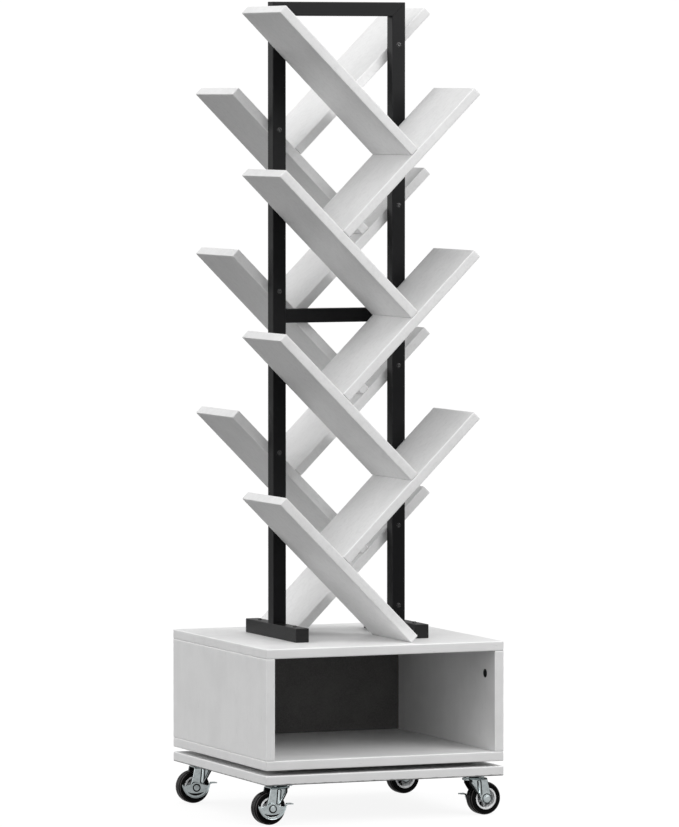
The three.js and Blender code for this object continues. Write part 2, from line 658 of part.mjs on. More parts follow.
// Fork pressed from one sheet: crown with ball race boss and two ribbed legs.
function forkGeometry() {
  const crown = rise(crownShape(), CROWN_SHEET, 5).translate(0, 0, CROWN_BOTTOM);
  const boss = turned([
    [0, CROWN_TOP - SINK],
    [CROWN_BOSS_RADIUS + CROWN_BOSS_DRAFT, CROWN_TOP - SINK],
    [CROWN_BOSS_RADIUS, CROWN_TOP + CROWN_BOSS],
    [0, CROWN_TOP + CROWN_BOSS],
  ], SMALL_ROUND);
  const leg = legGeometry();
  const other = leg.clone().scale(1, -1, 1);
  const pinHole = disc(PIN_RADIUS + SWIVEL_GAP, CROWN_BOTTOM - 1, CASTER_HEIGHT, SMALL_ROUND);
  const axleHole = alongAxle(disc(AXLE_RADIUS + AXLE_CLEARANCE, -40, 40, SMALL_ROUND));
  return cut(join(crown, boss, leg, other), pinHole, axleHole);
}

// Turns a piece made about Z so that it lies about the axle, with its own +Z towards +Y.
const alongAxle = (geometry) => geometry.rotateX(-Math.PI / 2).translate(AXLE[0], 0, AXLE[1]);

// Bolt through both legs with a spacer under the brake and a head at each end.
function axleGeometry() {
  const gap = SWIVEL_GAP / 2;
  const left = -LEG_OUTSIDE - gap;
  const spacer = LEG_OUTSIDE + gap;
  const head = BRAKE_OUTSIDE + gap;
  const collar = AXLE_HEAD_RADIUS - AXLE_HEAD_BEVEL;
  return alongAxle(turned([
    [0, left - AXLE_HEAD],
    [collar, left - AXLE_HEAD],
    [AXLE_HEAD_RADIUS, left - AXLE_FLANGE],
    [AXLE_FLANGE_RADIUS, left - AXLE_FLANGE],
    [AXLE_FLANGE_RADIUS, left],
    [AXLE_RADIUS, left],
    [AXLE_RADIUS, spacer],
    [collar, spacer],
    [collar, BRAKE_INSIDE - gap],
    [AXLE_RADIUS, BRAKE_INSIDE - gap],
    [AXLE_RADIUS, head],
    [AXLE_HEAD_RADIUS, head],
    [collar, head + AXLE_HEAD],
    [0, head + AXLE_HEAD],
  ], SMALL_ROUND));
}

// Hub with a rim, a boss on the axle and spokes between them.
function hubGeometry() {
  const rimInside = RIM_RADIUS - RIM_WALL;
  const bossEnd = LEG_INSIDE - SWIVEL_GAP;
  const rimHalf = WHEEL_WIDTH / 2 + RIM_PROUD;
  const rim = ring(rimInside, RIM_RADIUS, -rimHalf, rimHalf, ROUND);
  const boss = ring(AXLE_RADIUS + AXLE_CLEARANCE, HUB_RADIUS, -bossEnd, bossEnd, SMALL_ROUND);
  const reach = rimInside - HUB_RADIUS + 2 * SPOKE_ROOT;
  const spokes = [];
  for (let i = 0; i < SPOKES; i += 1) {
    const spoke = new THREE.BoxGeometry(reach, SPOKE_WIDTH, 2 * SPOKE_HALF_DEPTH);
    spoke.translate((rimInside + HUB_RADIUS) / 2, 0, 0);
    spokes.push(spoke.rotateZ((2 * Math.PI * (i + 0.5)) / SPOKES));
  }
  return alongAxle(join(rim, boss, ...spokes));
}

// Tyre with rounded shoulders.
function tyreGeometry() {
  const inside = RIM_RADIUS + TOUCH_GAP;
  const half = WHEEL_WIDTH / 2;
  const points = [[inside, -half], [inside + TYRE_LIP, -half]];
  for (const side of [-1, 1]) {
    for (let step = 0; step <= 2; step += 1) {
      const angle = (side * Math.PI / 2) * (side < 0 ? 1 - step / 2 : step / 2);
      points.push([
        WHEEL_RADIUS - TYRE_SHOULDER + TYRE_SHOULDER * Math.cos(angle),
        side * (half - TYRE_SHOULDER) + TYRE_SHOULDER * Math.sin(angle),
      ]);
    }
  }
  points.push([inside + TYRE_LIP, half], [inside, half], [inside, -half]);
  return alongAxle(turned(points, ROUND));
}

// Circle of the crescent's lower edge: its centre over the axle, its radius, the tips' angle.
function crescentCircle() {
  const squares = BRAKE_REACH ** 2 + BRAKE_TOP ** 2 - BRAKE_DROP ** 2;
  const centre = squares / (2 * (BRAKE_TOP + BRAKE_DROP));
  return { centre, radius: centre + BRAKE_DROP, tip: Math.atan2(BRAKE_TOP - centre, BRAKE_REACH) };
}

// Outline of the crescent: round below, hollow beside both tips, a boss about the axle.
function crescentShape() {
  const { centre, radius, tip } = crescentCircle();
  const shape = new THREE.Shape();
  shape.moveTo(-BRAKE_REACH, BRAKE_TOP);
  shape.absarc(0, centre, radius, Math.PI - tip, tip + 2 * Math.PI, false);
  shape.lineTo(BRAKE_DIP_X, BRAKE_DIP);
  shape.absarc(0, 0, BRAKE_BOSS, BRAKE_BOSS_SPREAD, Math.PI - BRAKE_BOSS_SPREAD, false);
  shape.lineTo(-BRAKE_DIP_X, BRAKE_DIP);
  shape.closePath();
  shape.holes.push(crescentSlot());
  return shape;
}

// Slot over the crescent's lower rim, widest in the middle: an arc below and a flatter one above.
function crescentSlot() {
  const { centre, radius } = crescentCircle();
  const lower = radius - BRAKE_RIM;
  const half = lower * Math.sin(BRAKE_SLOT_SPREAD);
  const bow = lower * (1 - Math.cos(BRAKE_SLOT_SPREAD)) - BRAKE_SLOT;
  const upper = (half ** 2 + bow ** 2) / (2 * bow);
  const spread = Math.asin(half / upper);
  const upperCentre = centre - lower + BRAKE_SLOT + upper;
  const down = -Math.PI / 2;
  const slot = new THREE.Path();
  slot.absarc(0, centre, lower, down - BRAKE_SLOT_SPREAD, down + BRAKE_SLOT_SPREAD, false);
  slot.absarc(0, upperCentre, upper, down + spread, down - spread, true);
  slot.closePath();
  return slot;
}

// Rolled lower edge of the crescent.
function lipShape() {
  const { centre, radius, tip } = crescentCircle();
  const [from, to] = [Math.PI - tip + BRAKE_LIP_END, 2 * Math.PI + tip - BRAKE_LIP_END];
  const shape = new THREE.Shape();
  shape.absarc(0, centre, radius, from, to, false);
  shape.absarc(0, centre, radius - BRAKE_SHEET, to, from, true);
  shape.closePath();
  return shape;
}

// Arm out of the crescent's front tip and the tab across the wheel that a shoe presses.
function brakeTab() {
  const start = -BRAKE_REACH + BRAKE_ARM_ROOT;
  const out = -BRAKE_REACH - BRAKE_TAB_LENGTH;
  const low = BRAKE_TAB_RISE - BRAKE_SHEET;
  const bend = out + BRAKE_TAB_FLAT;
  const arm = new THREE.Shape();
  arm.moveTo(start, BRAKE_DIP);
  arm.lineTo(start, BRAKE_TOP);
  arm.lineTo(bend, BRAKE_TAB_RISE);
  arm.lineTo(out, BRAKE_TAB_RISE);
  arm.lineTo(out, low);
  arm.lineTo(bend, low - BRAKE_SHEET);
  arm.closePath();
  const width = BRAKE_TAB_WIDTH;
  const tab = new THREE.BoxGeometry(BRAKE_TAB_FLAT, width, BRAKE_SHEET);
  tab.translate(out + BRAKE_TAB_FLAT / 2, BRAKE_OUTSIDE - width / 2, low + BRAKE_SHEET / 2);
  return [across(arm, BRAKE_INSIDE, BRAKE_SHEET), tab];
}

// Foot brake: slotted crescent on the axle with a rolled lower edge and a tab to step on.
function brakeGeometry() {
  const plate = across(crescentShape(), BRAKE_INSIDE, BRAKE_SHEET, 5);
  const lip = across(lipShape(), BRAKE_INSIDE, BRAKE_SHEET + BRAKE_LIP, 5);
  const hole = alongAxle(disc(AXLE_RADIUS + AXLE_CLEARANCE, 0, 40, SMALL_ROUND));
  const whole = join(plate, lip, ...brakeTab()).translate(AXLE[0], 0, AXLE[1]);
  return cut(whole, hole);
}

function buildCaster(corner, signX, signY, trailDegrees) {
  const caster = new THREE.Group();
  caster.position.set(
    signX * (CABINET_WIDTH / 2 - CASTER_INSET),
    signY * (CABINET_DEPTH / 2 - CASTER_INSET),
    0,
  );
  const swivel = new THREE.Group();
  swivel.rotation.z = THREE.MathUtils.degToRad(trailDegrees);
  addPiece(caster, `caster_plate_${corner}`, mountGeometry(), zinc);
  addPiece(swivel, `fork_${corner}`, forkGeometry(), zinc);
  addPiece(swivel, `axle_${corner}`, axleGeometry(), zinc);
  addPiece(swivel, `hub_${corner}`, hubGeometry(), hubGrey);
  addPiece(swivel, `tyre_${corner}`, tyreGeometry(), rubber);
  addPiece(swivel, `brake_${corner}`, brakeGeometry(), zinc);
  caster.add(swivel);
  object.add(caster);
}

buildBase();
buildTurntable();
buildCabinet();
buildFrame();
buildShelves();
buildCaster('front_left', -1, -1, TRAIL_FRONT_LEFT);
buildCaster('back_left', -1, 1, TRAIL_BACK_LEFT);
buildCaster('front_right', 1, -1, TRAIL_FRONT_RIGHT);
buildCaster('back_right', 1, 1, TRAIL_BACK_RIGHT);

export default object;
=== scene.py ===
"""Looks of a turning bookshelf shaped like a tree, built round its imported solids.

Every shape is worked out in millimetres as whole numpy arrays, either as a profile carried
along a path or as a function of two parameters on a grid, and becomes a mesh in metres that
lies where its solid lies. Patterns follow each piece through an attribute named place, which
holds the position of a point on the piece before it was put in position.
"""

import json
import logging
import math
from dataclasses import dataclass
from enum import Enum
from typing import Protocol, Sequence

import bpy
import numpy as np
from mathutils import Matrix, Vector
from mathutils.geometry import tessellate_polygon


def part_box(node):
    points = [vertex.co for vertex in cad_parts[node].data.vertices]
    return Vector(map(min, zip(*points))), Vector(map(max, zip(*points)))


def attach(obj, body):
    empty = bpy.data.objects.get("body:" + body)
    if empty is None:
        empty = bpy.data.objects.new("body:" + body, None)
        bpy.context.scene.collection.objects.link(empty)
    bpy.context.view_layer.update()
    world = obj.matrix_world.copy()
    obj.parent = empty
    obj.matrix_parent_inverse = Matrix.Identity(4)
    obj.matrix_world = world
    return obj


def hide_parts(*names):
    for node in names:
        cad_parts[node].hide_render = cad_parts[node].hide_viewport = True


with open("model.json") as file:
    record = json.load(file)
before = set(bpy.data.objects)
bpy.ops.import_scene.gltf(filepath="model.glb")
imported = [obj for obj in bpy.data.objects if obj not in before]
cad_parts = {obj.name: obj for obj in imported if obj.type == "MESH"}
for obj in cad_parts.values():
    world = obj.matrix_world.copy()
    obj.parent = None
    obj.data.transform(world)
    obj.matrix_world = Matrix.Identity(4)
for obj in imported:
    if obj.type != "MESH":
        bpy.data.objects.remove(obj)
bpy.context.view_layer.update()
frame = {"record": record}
JOINTS = {joint["name"]: joint for joint in frame["record"]["behaviour"]["joints"]}

Array = np.ndarray
Socket = bpy.types.NodeSocket
MM = 0.001
PER_METRE = 1000
PHOTO_SIZE = (679, 827)
SMOOTH_ANGLE = 35.0

# Limits of shapes, in millimetres
SAME_POINT = 1e-6
LEAST_LENGTH = 1e-12
LEAST_RADIUS = 0.02
LEAST_EASE = 0.05

# Wear where a rounding starts, and how much more its middle has
EDGE_WEAR = 0.35
MIDDLE_WEAR = 0.65

# Farthest that a pattern is moved on its piece, in metres
PLACE_SPREAD = 4.0

log = logging.getLogger("tree_shelf")


class Slot(Enum):
    """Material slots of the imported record."""

    WHITE_BOARD = "white_board"
    DARK_PANEL = "dark_panel"
    BLACK_STEEL = "black_steel"
    BLACK_PLASTIC = "black_plastic"
    ZINC_STEEL = "zinc_steel"
    BEARING_STEEL = "bearing_steel"
    GREY_HUB = "grey_hub"
    BLACK_RUBBER = "black_rubber"


class Side(Enum):
    """Left or right of the object, seen from its open front."""

    LEFT = -1
    RIGHT = 1


# Shapes, as points and faces


@dataclass
class Shape:
    """Points in millimetres with their faces, wear and place.

    Wear is 1 on a rubbed edge and on a painted glint line, 0 on a plain face and -1 where
    shade is painted. Place is where a point was before the shape was put in position, in metres.
    """

    points: Array
    faces: list[tuple[int, ...]]
    wear: Array
    place: Array

    @classmethod
    def of(cls, points: Array, faces: Sequence[Sequence[int]], wear: Array | None) -> "Shape":
        """Makes a shape and drops the points that no face uses.

        Args:
            points: (n, 3) positions in millimetres.
            faces: corners of each face, anticlockwise seen from outside.
            wear: how near each point is to an edge, or None for none.

        Returns:
            The shape, with place set to its own points.
        """
        corners = np.fromiter((i for face in faces for i in face), int)
        used, renamed = np.unique(corners, return_inverse=True)
        renamed = iter(renamed.tolist())
        tidy = [tuple(next(renamed) for _ in face) for face in faces]
        kept = np.asarray(points, float)[used]
        edge_marks = np.zeros(len(kept)) if wear is None else np.asarray(wear, float)[used]
        return cls(kept, tidy, edge_marks, kept * MM)

    def __add__(self, other: "Shape") -> "Shape":
        """Both shapes as one.

        Args:
            other: the shape that is added.

        Returns:
            One shape with the points and faces of both.
        """
        start = len(self.points)
        shifted = [tuple(i + start for i in face) for face in other.faces]
        return Shape(
            np.vstack([self.points, other.points]),
            self.faces + shifted,
            np.concatenate([self.wear, other.wear]),
            np.vstack([self.place, other.place]),
        )

    def put(self, matrix: Matrix) -> "Shape":
        """The shape carried by a matrix in millimetres; its place stays with it.

        Args:
            matrix: 4 by 4 transform. Where it mirrors, the faces are turned outwards again.

        Returns:
            The moved shape.
        """
        m = np.array(matrix)
        moved = self.points @ m[:3, :3].T + m[:3, 3]
        faces = self.faces
        if np.linalg.det(m[:3, :3]) < 0:
            faces = [face[::-1] for face in faces]
        return Shape(moved, faces, self.wear, self.place)

    def seeded(self, seed: int) -> "Shape":
        """The shape with its place shifted, so that no two pieces show the same pattern."""
        offset = np.random.default_rng(seed).uniform(-PLACE_SPREAD, PLACE_SPREAD, 3)
        return Shape(self.points, self.faces, self.wear, self.place + offset)


def shift(x: float = 0.0, y: float = 0.0, z: float = 0.0) -> Matrix:
    """Translation matrix in millimetres."""
    return Matrix.Translation((x, y, z))


def turn(degrees: float, axis: str) -> Matrix:
    """Rotation matrix about one axis."""
    return Matrix.Rotation(math.radians(degrees), 4, axis)


def joined(shapes: Sequence[Shape]) -> Shape:
    """All shapes as one.

    Args:
        shapes: one shape or more.

    Returns:
        One shape that holds them all.
    """
    whole = shapes[0]
    for shape in shapes[1:]:
        whole = whole + shape
    return whole


def lofted(
    rows: Array,
    wear: Array | None = None,
    round_: bool = True,
    wrapped: bool = False,
) -> Shape:
    """Surface over a grid of points, each row joined to the next by four-cornered faces.

    Where rows close on themselves and the grid doesn't wrap, a flat face closes each end.

    Args:
        rows: (m, n, 3) grid; rows run anticlockwise seen against the way the rows advance.
        wear: (m, n) wear, or None.
        round_: whether each row closes on itself.
        wrapped: whether the last row is joined to the first.

    Returns:
        The surface. A row whose points all meet becomes a pole.
    """
    m, n, _ = rows.shape
    index = np.arange(m * n).reshape(m, n)
    poles = [np.ptp(rows[i], axis=0).max() < SAME_POINT for i in (0, -1)]
    for pole, i in zip(poles, (0, -1)):
        if pole:
            index[i] = index[i, 0]
    ladder = np.vstack([index, index[:1]]) if wrapped else index
    low, high = ladder[:-1], ladder[1:]
    if round_:
        low = np.hstack([low, low[:, :1]])
        high = np.hstack([high, high[:, :1]])
    quads = np.stack([low[:, :-1], low[:, 1:], high[:, 1:], high[:, :-1]], -1).reshape(-1, 4)
    faces = [tuple(dict.fromkeys(quad)) for quad in quads.tolist()]
    if round_ and not wrapped:
        if not poles[0]:
            faces.append(tuple(index[0][::-1].tolist()))
        if not poles[1]:
            faces.append(tuple(index[-1].tolist()))
    flat_wear = None if wear is None else np.asarray(wear, float).reshape(-1)
    return Shape.of(rows.reshape(-1, 3), faces, flat_wear)


class Outline(Protocol):
    """Closed flat line, anticlockwise, that can be asked for at any inset."""

    def at(self, inset: float) -> Array:
        """(n, 2) points of the line moved inwards by the inset."""


@dataclass(frozen=True)
class RoundRect:
    """Rectangle with quarter-circle corners and a plain point beside each corner."""

    width: float
    height: float
    radius: float
    steps: int = 4
    shoulder: float = 1.5

    def at(self, inset: float) -> Array:
        """Corner points c + r (cos a, sin a), with c and r both shrunk by the inset.

        Args:
            inset: how far the line is moved inwards.

        Returns:
            (n, 2) points.
        """
        r = max(self.radius - inset, LEAST_RADIUS)
        half = np.array([self.width / 2 - inset - r, self.height / 2 - inset - r])
        corners = np.array([[1, 1], [-1, 1], [-1, -1], [1, -1]]) * half
        points = []
        for k, corner in enumerate(corners):
            a = np.linspace(0, math.pi / 2, self.steps + 1) + k * math.pi / 2
            arc = corner + r * np.stack([np.cos(a), np.sin(a)], 1)
            before = arc[0] + self.shoulder * np.array([math.sin(a[0]), -math.cos(a[0])])
            after = arc[-1] + self.shoulder * np.array([-math.sin(a[-1]), math.cos(a[-1])])
            points += [before, *arc, after]
        return np.array(points)


@dataclass(frozen=True)
class Circle:
    """Circle about the origin."""

    radius: float
    count: int

    def at(self, inset: float) -> Array:
        """Points (r - inset) (cos a, sin a)."""
        a = np.arange(self.count) * 2 * math.pi / self.count
        return (self.radius - inset) * np.stack([np.cos(a), np.sin(a)], 1)


@dataclass(frozen=True)
class Drawn:
    """Any closed line given by its points, anticlockwise."""

    points: Array

    def at(self, inset: float) -> Array:
        """Each point moved inwards, square to the line between its two neighbours.

        Args:
            inset: how far the line is moved inwards.

        Returns:
            (n, 2) points.
        """
        ahead = np.roll(self.points, -1, 0) - np.roll(self.points, 1, 0)
        inwards = np.stack([-ahead[:, 1], ahead[:, 0]], 1)
        inwards /= np.linalg.norm(inwards, axis=1, keepdims=True) + LEAST_LENGTH
        return self.points + inset * inwards


def edge_profile(low: float, high: float, radius: float, shoulder: float, steps: int = 4) -> Array:
    """Profile of a plate's edge: flat, quarter circle, side, quarter circle, flat.

    Wear over a quarter circle is 0.35 + 0.65 sin 2a. Where the side is high enough, two more
    points end the wear soon after the circles, at 0.8 of the shoulder.

    Args:
        low: height of the lower face.
        high: height of the upper face.
        radius: radius of the quarter circles.
        shoulder: how far the flat faces reach in before they are filled.
        steps: parts of each quarter circle.

    Returns:
        (m, 3) rows of inset, height and wear.
    """
    a = np.linspace(0, math.pi / 2, steps + 1)
    wear = EDGE_WEAR + MIDDLE_WEAR * np.sin(2 * a)
    rising = np.stack([radius * (1 - np.sin(a)), low + radius * (1 - np.cos(a)), wear], 1)
    falling = rising[::-1] * [1, -1, 1] + [0, low + high, 0]
    ease = min(shoulder, (high - low) / 2 - radius) * 0.8
    inner = [[radius + shoulder, low, 0]]
    outer = [[radius + shoulder, high, 0]]
    flat = [] if ease < LEAST_EASE else [[0, low + radius + ease, 0], [0, high - radius - ease, 0]]
    return np.array([*inner, *rising, *flat, *falling, *outer])


def plate(
    outline: Outline,
    low: float,
    high: float,
    radius: float,
    holes: Sequence[Outline] = (),
    shoulder: float = 1.2,
    steps: int = 4,
) -> Shape:
    """Flat plate whose edge profile is carried round its outline and round each hole.

    Args:
        outline: outer line.
        low: height of the lower face.
        high: height of the upper face.
        radius: rounding of the edges.
        holes: lines of the openings, anticlockwise as well.
        shoulder: flat margin along each edge.
        steps: parts of each rounding.

    Returns:
        The closed plate, with wear along its edges.
    """
    profile = edge_profile(low, high, radius, shoulder, steps)
    loops = []
    for line, sign in [(outline, 1), *((hole, -1) for hole in holes)]:
        rows = []
        for inset, height, _ in profile:
            flat = line.at(sign * inset)[::sign]
            rows.append(np.column_stack([flat, np.full(len(flat), height)]))
        grid = np.array(rows)
        wear = np.repeat(profile[:, 2:3], grid.shape[1], 1)
        loops.append((grid, wear))
    if not holes:
        return lofted(*loops[0])
    points = np.vstack([grid.reshape(-1, 3) for grid, _ in loops])
    wear = np.concatenate([w.reshape(-1) for _, w in loops])
    faces, firsts, lasts, start = [], [], [], 0
    for grid, _ in loops:
        m, n, _ = grid.shape
        index = np.arange(m * n).reshape(m, n) + start
        low_rows, high_rows = index[:-1], index[1:]
        quads = np.stack(
            [low_rows, np.roll(low_rows, -1, 1), np.roll(high_rows, -1, 1), high_rows], -1
        )
        faces += [tuple(q) for q in quads.reshape(-1, 4).tolist()]
        firsts.append(index[0])
        lasts.append(index[-1])
        start += m * n
    for rows, upwards in ((firsts, False), (lasts, True)):
        flat = np.concatenate(rows)
        polygons = [[Vector(points[i]) for i in row] for row in rows]
        for triangle in tessellate_polygon(polygons):
            a, b, c = (points[flat[i]] for i in triangle)
            rising = np.cross(b - a, c - a)[2] > 0
            corners = triangle if rising == upwards else triangle[::-1]
            faces.append(tuple(int(flat[i]) for i in corners))
    return Shape.of(points, faces, wear)


def revolved(profile: Sequence[Sequence[float]], count: int, closed: bool = False) -> Shape:
    """Surface of revolution: point (r cos a, r sin a, z) for each profile point and angle.

    Args:
        profile: (radius, height) points, anticlockwise with the radius to the right.
        count: points round the axis.
        closed: whether the profile closes on itself, as for a ring.

    Returns:
        The closed surface.
    """
    r, z = np.array(profile, float).T
    a = np.arange(count) * 2 * math.pi / count
    rows = np.stack(
        [np.outer(r, np.cos(a)), np.outer(r, np.sin(a)), np.repeat(z[:, None], count, 1)], -1
    )
    return lofted(rows, wrapped=closed)


def rounded_profile(
    corners: Sequence[tuple[float, float, float]], steps: int = 3, closed: bool = False
) -> list:
    """Profile whose corners are replaced by arcs.

    Args:
        corners: (radius, height, rounding) of each corner.
        steps: parts of each arc.
        closed: whether the last corner is joined to the first.

    Returns:
        (radius, height) points. An arc touches both sides at its rounding from the corner,
        and its points are the quadratic blend of the two touching points and the corner.
    """
    points = []
    for i, (x, y, rounding) in enumerate(corners):
        here = np.array([x, y])
        inner = closed or 0 < i < len(corners) - 1
        if rounding <= 0 or not inner:
            points.append((x, y))
            continue
        before = np.array(corners[i - 1][:2]) - here
        after = np.array(corners[(i + 1) % len(corners)][:2]) - here
        start = here + before / np.linalg.norm(before) * rounding
        end = here + after / np.linalg.norm(after) * rounding
        for t in np.linspace(0, 1, steps + 1):
            blended = (1 - t) ** 2 * start + 2 * t * (1 - t) * here + t**2 * end
            points.append(tuple(blended))
    return points


def swept(
    path: Array,
    outline: Array,
    up: Sequence[float],
    scale: Array | None = None,
    wear: Array | None = None,
) -> Shape:
    """Closed outline carried along a path, its x to the side and its y along the up vector.

    Args:
        path: (m, 3) points.
        outline: (n, 2) closed section, anticlockwise.
        up: direction that stays upwards in the section.
        scale: (m,) size of the section at each point, or None.
        wear: (n,) wear round the section, or None.

    Returns:
        The closed bar.
    """
    ahead = np.gradient(path, axis=0)
    ahead /= np.linalg.norm(ahead, axis=1, keepdims=True)
    side = np.cross(ahead, np.array(up, float))
    side /= np.linalg.norm(side, axis=1, keepdims=True)
    top = np.cross(side, ahead)
    size = np.ones(len(path)) if scale is None else scale
    across = outline[None, ::-1, 0, None] * side[:, None] * size[:, None, None]
    upwards = outline[None, ::-1, 1, None] * top[:, None] * size[:, None, None]
    edge_marks = None if wear is None else np.tile(wear[::-1], (len(path), 1))
    return lofted(path[:, None] + across + upwards, edge_marks)


def ball(radius: float, centre: Sequence[float], count: int = 20) -> Shape:
    """Ball: a half circle carried round the axis through its centre.

    Args:
        radius: radius of the ball.
        centre: where its centre lies.
        count: points round the axis; the half circle has half as many parts.

    Returns:
        The closed ball.
    """
    a = np.linspace(-math.pi / 2, math.pi / 2, count // 2 + 1)
    profile = [(radius * math.cos(t), radius * math.sin(t)) for t in a]
    profile[0], profile[-1] = (0.0, -radius), (0.0, radius)
    return revolved(profile, count).put(shift(*centre))


class Recess(Enum):
    """What a screwdriver fits."""

    HEX = "hex"
    CROSS = "cross"


@dataclass(frozen=True)
class ScrewHead:
    """Head that stands on z = 0: a flange, a dome and a recess in its top.

    Sunk is how far it goes into what it holds. Land is a factor on the recess, floor a share
    of the height, and waist how wide a cross is between its arms.
    """

    radius: float
    height: float
    recess: Recess
    recess_size: float
    flange: float = 0.35
    count: int = 48
    sunk: float = 0.3
    land: float = 1.12
    floor: float = 0.35
    waist: float = 0.34

    @property
    def angles(self) -> Array:
        """Angles of the points round the head."""
        return np.arange(self.count) * 2 * math.pi / self.count

    def reach(self) -> Array:
        """Radius of the recess at each angle: a hexagon, or a cross with rounded arms.

        Returns:
            r / cos b, where b is the angle to the middle of the nearest flat, or
            r (w + (1 - w) c), where w is the waist and c the cube of the size of cos 2a.
        """
        a = self.angles
        if self.recess is Recess.HEX:
            part = math.pi / 3
            return self.recess_size / np.cos(np.mod(a + part / 2, part) - part / 2)
        arm = np.abs(np.cos(2 * a)) ** 3
        return self.recess_size * (self.waist + (1 - self.waist) * arm)

    def ring(self, radius: float | Array, z: float) -> Array:
        """Points (r cos a, r sin a, z) round the head."""
        a = self.angles
        return np.stack([radius * np.cos(a), radius * np.sin(a), np.full(self.count, z)], 1)

    def build(self) -> Shape:
        """Rings from the seat over the dome and down into the recess.

        The dome is a quarter of an ellipse from 0.8 of the radius up to the land.

        Returns:
            The closed head, sunk a little into what it holds.
        """
        r, h, lip = self.radius, self.height, self.flange
        rim = self.reach()
        land = max(float(rim.max()) * self.land, r * 0.5)
        rounds = [(0.0, -self.sunk), (r, -self.sunk), (r, lip * 0.5)]
        rounds += [(r * 0.97, lip * 0.9), (r * 0.84, lip * 1.05)]
        for t in np.linspace(0, 1, 6)[1:]:
            side = math.pi / 2 * t
            rounds.append((land + (r * 0.8 - land) * math.cos(side), lip + (h - lip) * math.sin(side)))
        floor = h * self.floor
        low = floor - 0.15
        rounds += [(1.04 * rim, h), (0.98 * rim, h - 0.12), (0.95 * rim, floor)]
        rounds += [(0.6 * rim, low), (0.0, low)]
        return lofted(np.array([self.ring(radius, z) for radius, z in rounds]))


# Wiring of material nodes


@dataclass
class Wiring:
    """Places and joins nodes in one tree."""

    tree: bpy.types.NodeTree

    def node(self, kind: str, inputs: dict | None = None, **settings: object) -> bpy.types.Node:
        """Adds a node.

        Args:
            kind: name of the node type.
            inputs: value or socket for each input, by name or number.
            settings: properties of the node.

        Returns:
            The new node.
        """
        made = self.tree.nodes.new(kind)
        for name, value in settings.items():
            setattr(made, name, value)
        for key, value in (inputs or {}).items():
            if isinstance(value, bpy.types.NodeSocket):
                self.tree.links.new(value, made.inputs[key])
            else:
                made.inputs[key].default_value = value
        return made

    def calc(self, operation: str, a: object, b: object) -> Socket:
        """Result of a Math node."""
        return self.node("ShaderNodeMath", {0: a, 1: b}, operation=operation).outputs[0]

    def blend(self, a: Socket, b: Socket, share: float) -> Socket:
        """Sum of two values, in which b has the share and a the rest."""
        return self.calc("ADD", self.calc("MULTIPLY", a, 1 - share), self.calc("MULTIPLY", b, share))

    def stretch(self, vector: Socket, by: object) -> Socket:
        """Vector multiplied part by part."""
        made = self.node("ShaderNodeVectorMath", {0: vector, 1: by}, operation="MULTIPLY")
        return made.outputs[0]

    def noise(self, vector: Socket, scale: object, detail: float = 3.0, rough: float = 0.5) -> Socket:
        """Value of a noise texture, near 0.5 on average."""
        inputs = {"Vector": vector, "Scale": scale, "Detail": detail, "Roughness": rough}
        return self.node("ShaderNodeTexNoise", inputs).outputs[0]

    def ranged(
        self, value: Socket, low: float, high: float, to_low: float = 0.0, to_high: float = 1.0
    ) -> Socket:
        """Value carried from one range to another, held inside it."""
        inputs = {0: value, 1: low, 2: high, 3: to_low, 4: to_high}
        return self.node("ShaderNodeMapRange", inputs, clamp=True).outputs[0]

    def mix(self, factor: Socket, a: object, b: object) -> Socket:
        """Colour between a and b."""
        made = self.node("ShaderNodeMix", {0: factor, 6: a, 7: b}, data_type="RGBA")
        return made.outputs[2]

    def place(self) -> Socket:
        """Position of a point on its piece, in metres."""
        return self.node("ShaderNodeAttribute", attribute_name="place").outputs["Vector"]

    def wear(self) -> Socket:
        """Wear of a point: -1 where shade is painted, 0 on a plain face, up to 1 on an edge."""
        return self.node("ShaderNodeAttribute", attribute_name="wear").outputs["Fac"]

    def sheltered(self) -> Socket:
        """Inner side of a bent sheet, where shade is painted: where the normal turns away from its outward
        direction.

        Returns:
            1 on the inner side, 0 on the outer side and on a piece without such a direction.
        """
        outward = self.node("ShaderNodeAttribute", attribute_name="outward").outputs["Vector"]
        facing = self.node("ShaderNodeTexCoord").outputs["Normal"]
        along = self.node("ShaderNodeVectorMath", {0: outward, 1: facing}, operation="DOT_PRODUCT")
        return self.ranged(along.outputs["Value"], low=-0.4, high=-0.05, to_low=1.0, to_high=0.0)

    def bump(self, height: Socket, strength: float, depth: float) -> Socket:
        """Normal from a height, where depth is the height's full range in metres."""
        inputs = {"Height": height, "Strength": strength, "Distance": depth}
        return self.node("ShaderNodeBump", inputs).outputs[0]


SOCKET_KINDS = {"vector": "NodeSocketVector", "value": "NodeSocketFloat"}

# Width over which the board's grain drifts to and fro, in metres
GRAIN_DRIFT = 0.012

# Sum of wear and noise at which the edge mask starts, before its reach is taken off
WEAR_LIMIT = 1.25

# Drawing lines of the plated sheet run along its height
DRAWN_STRETCH = (1.0, 1.0, 0.08)


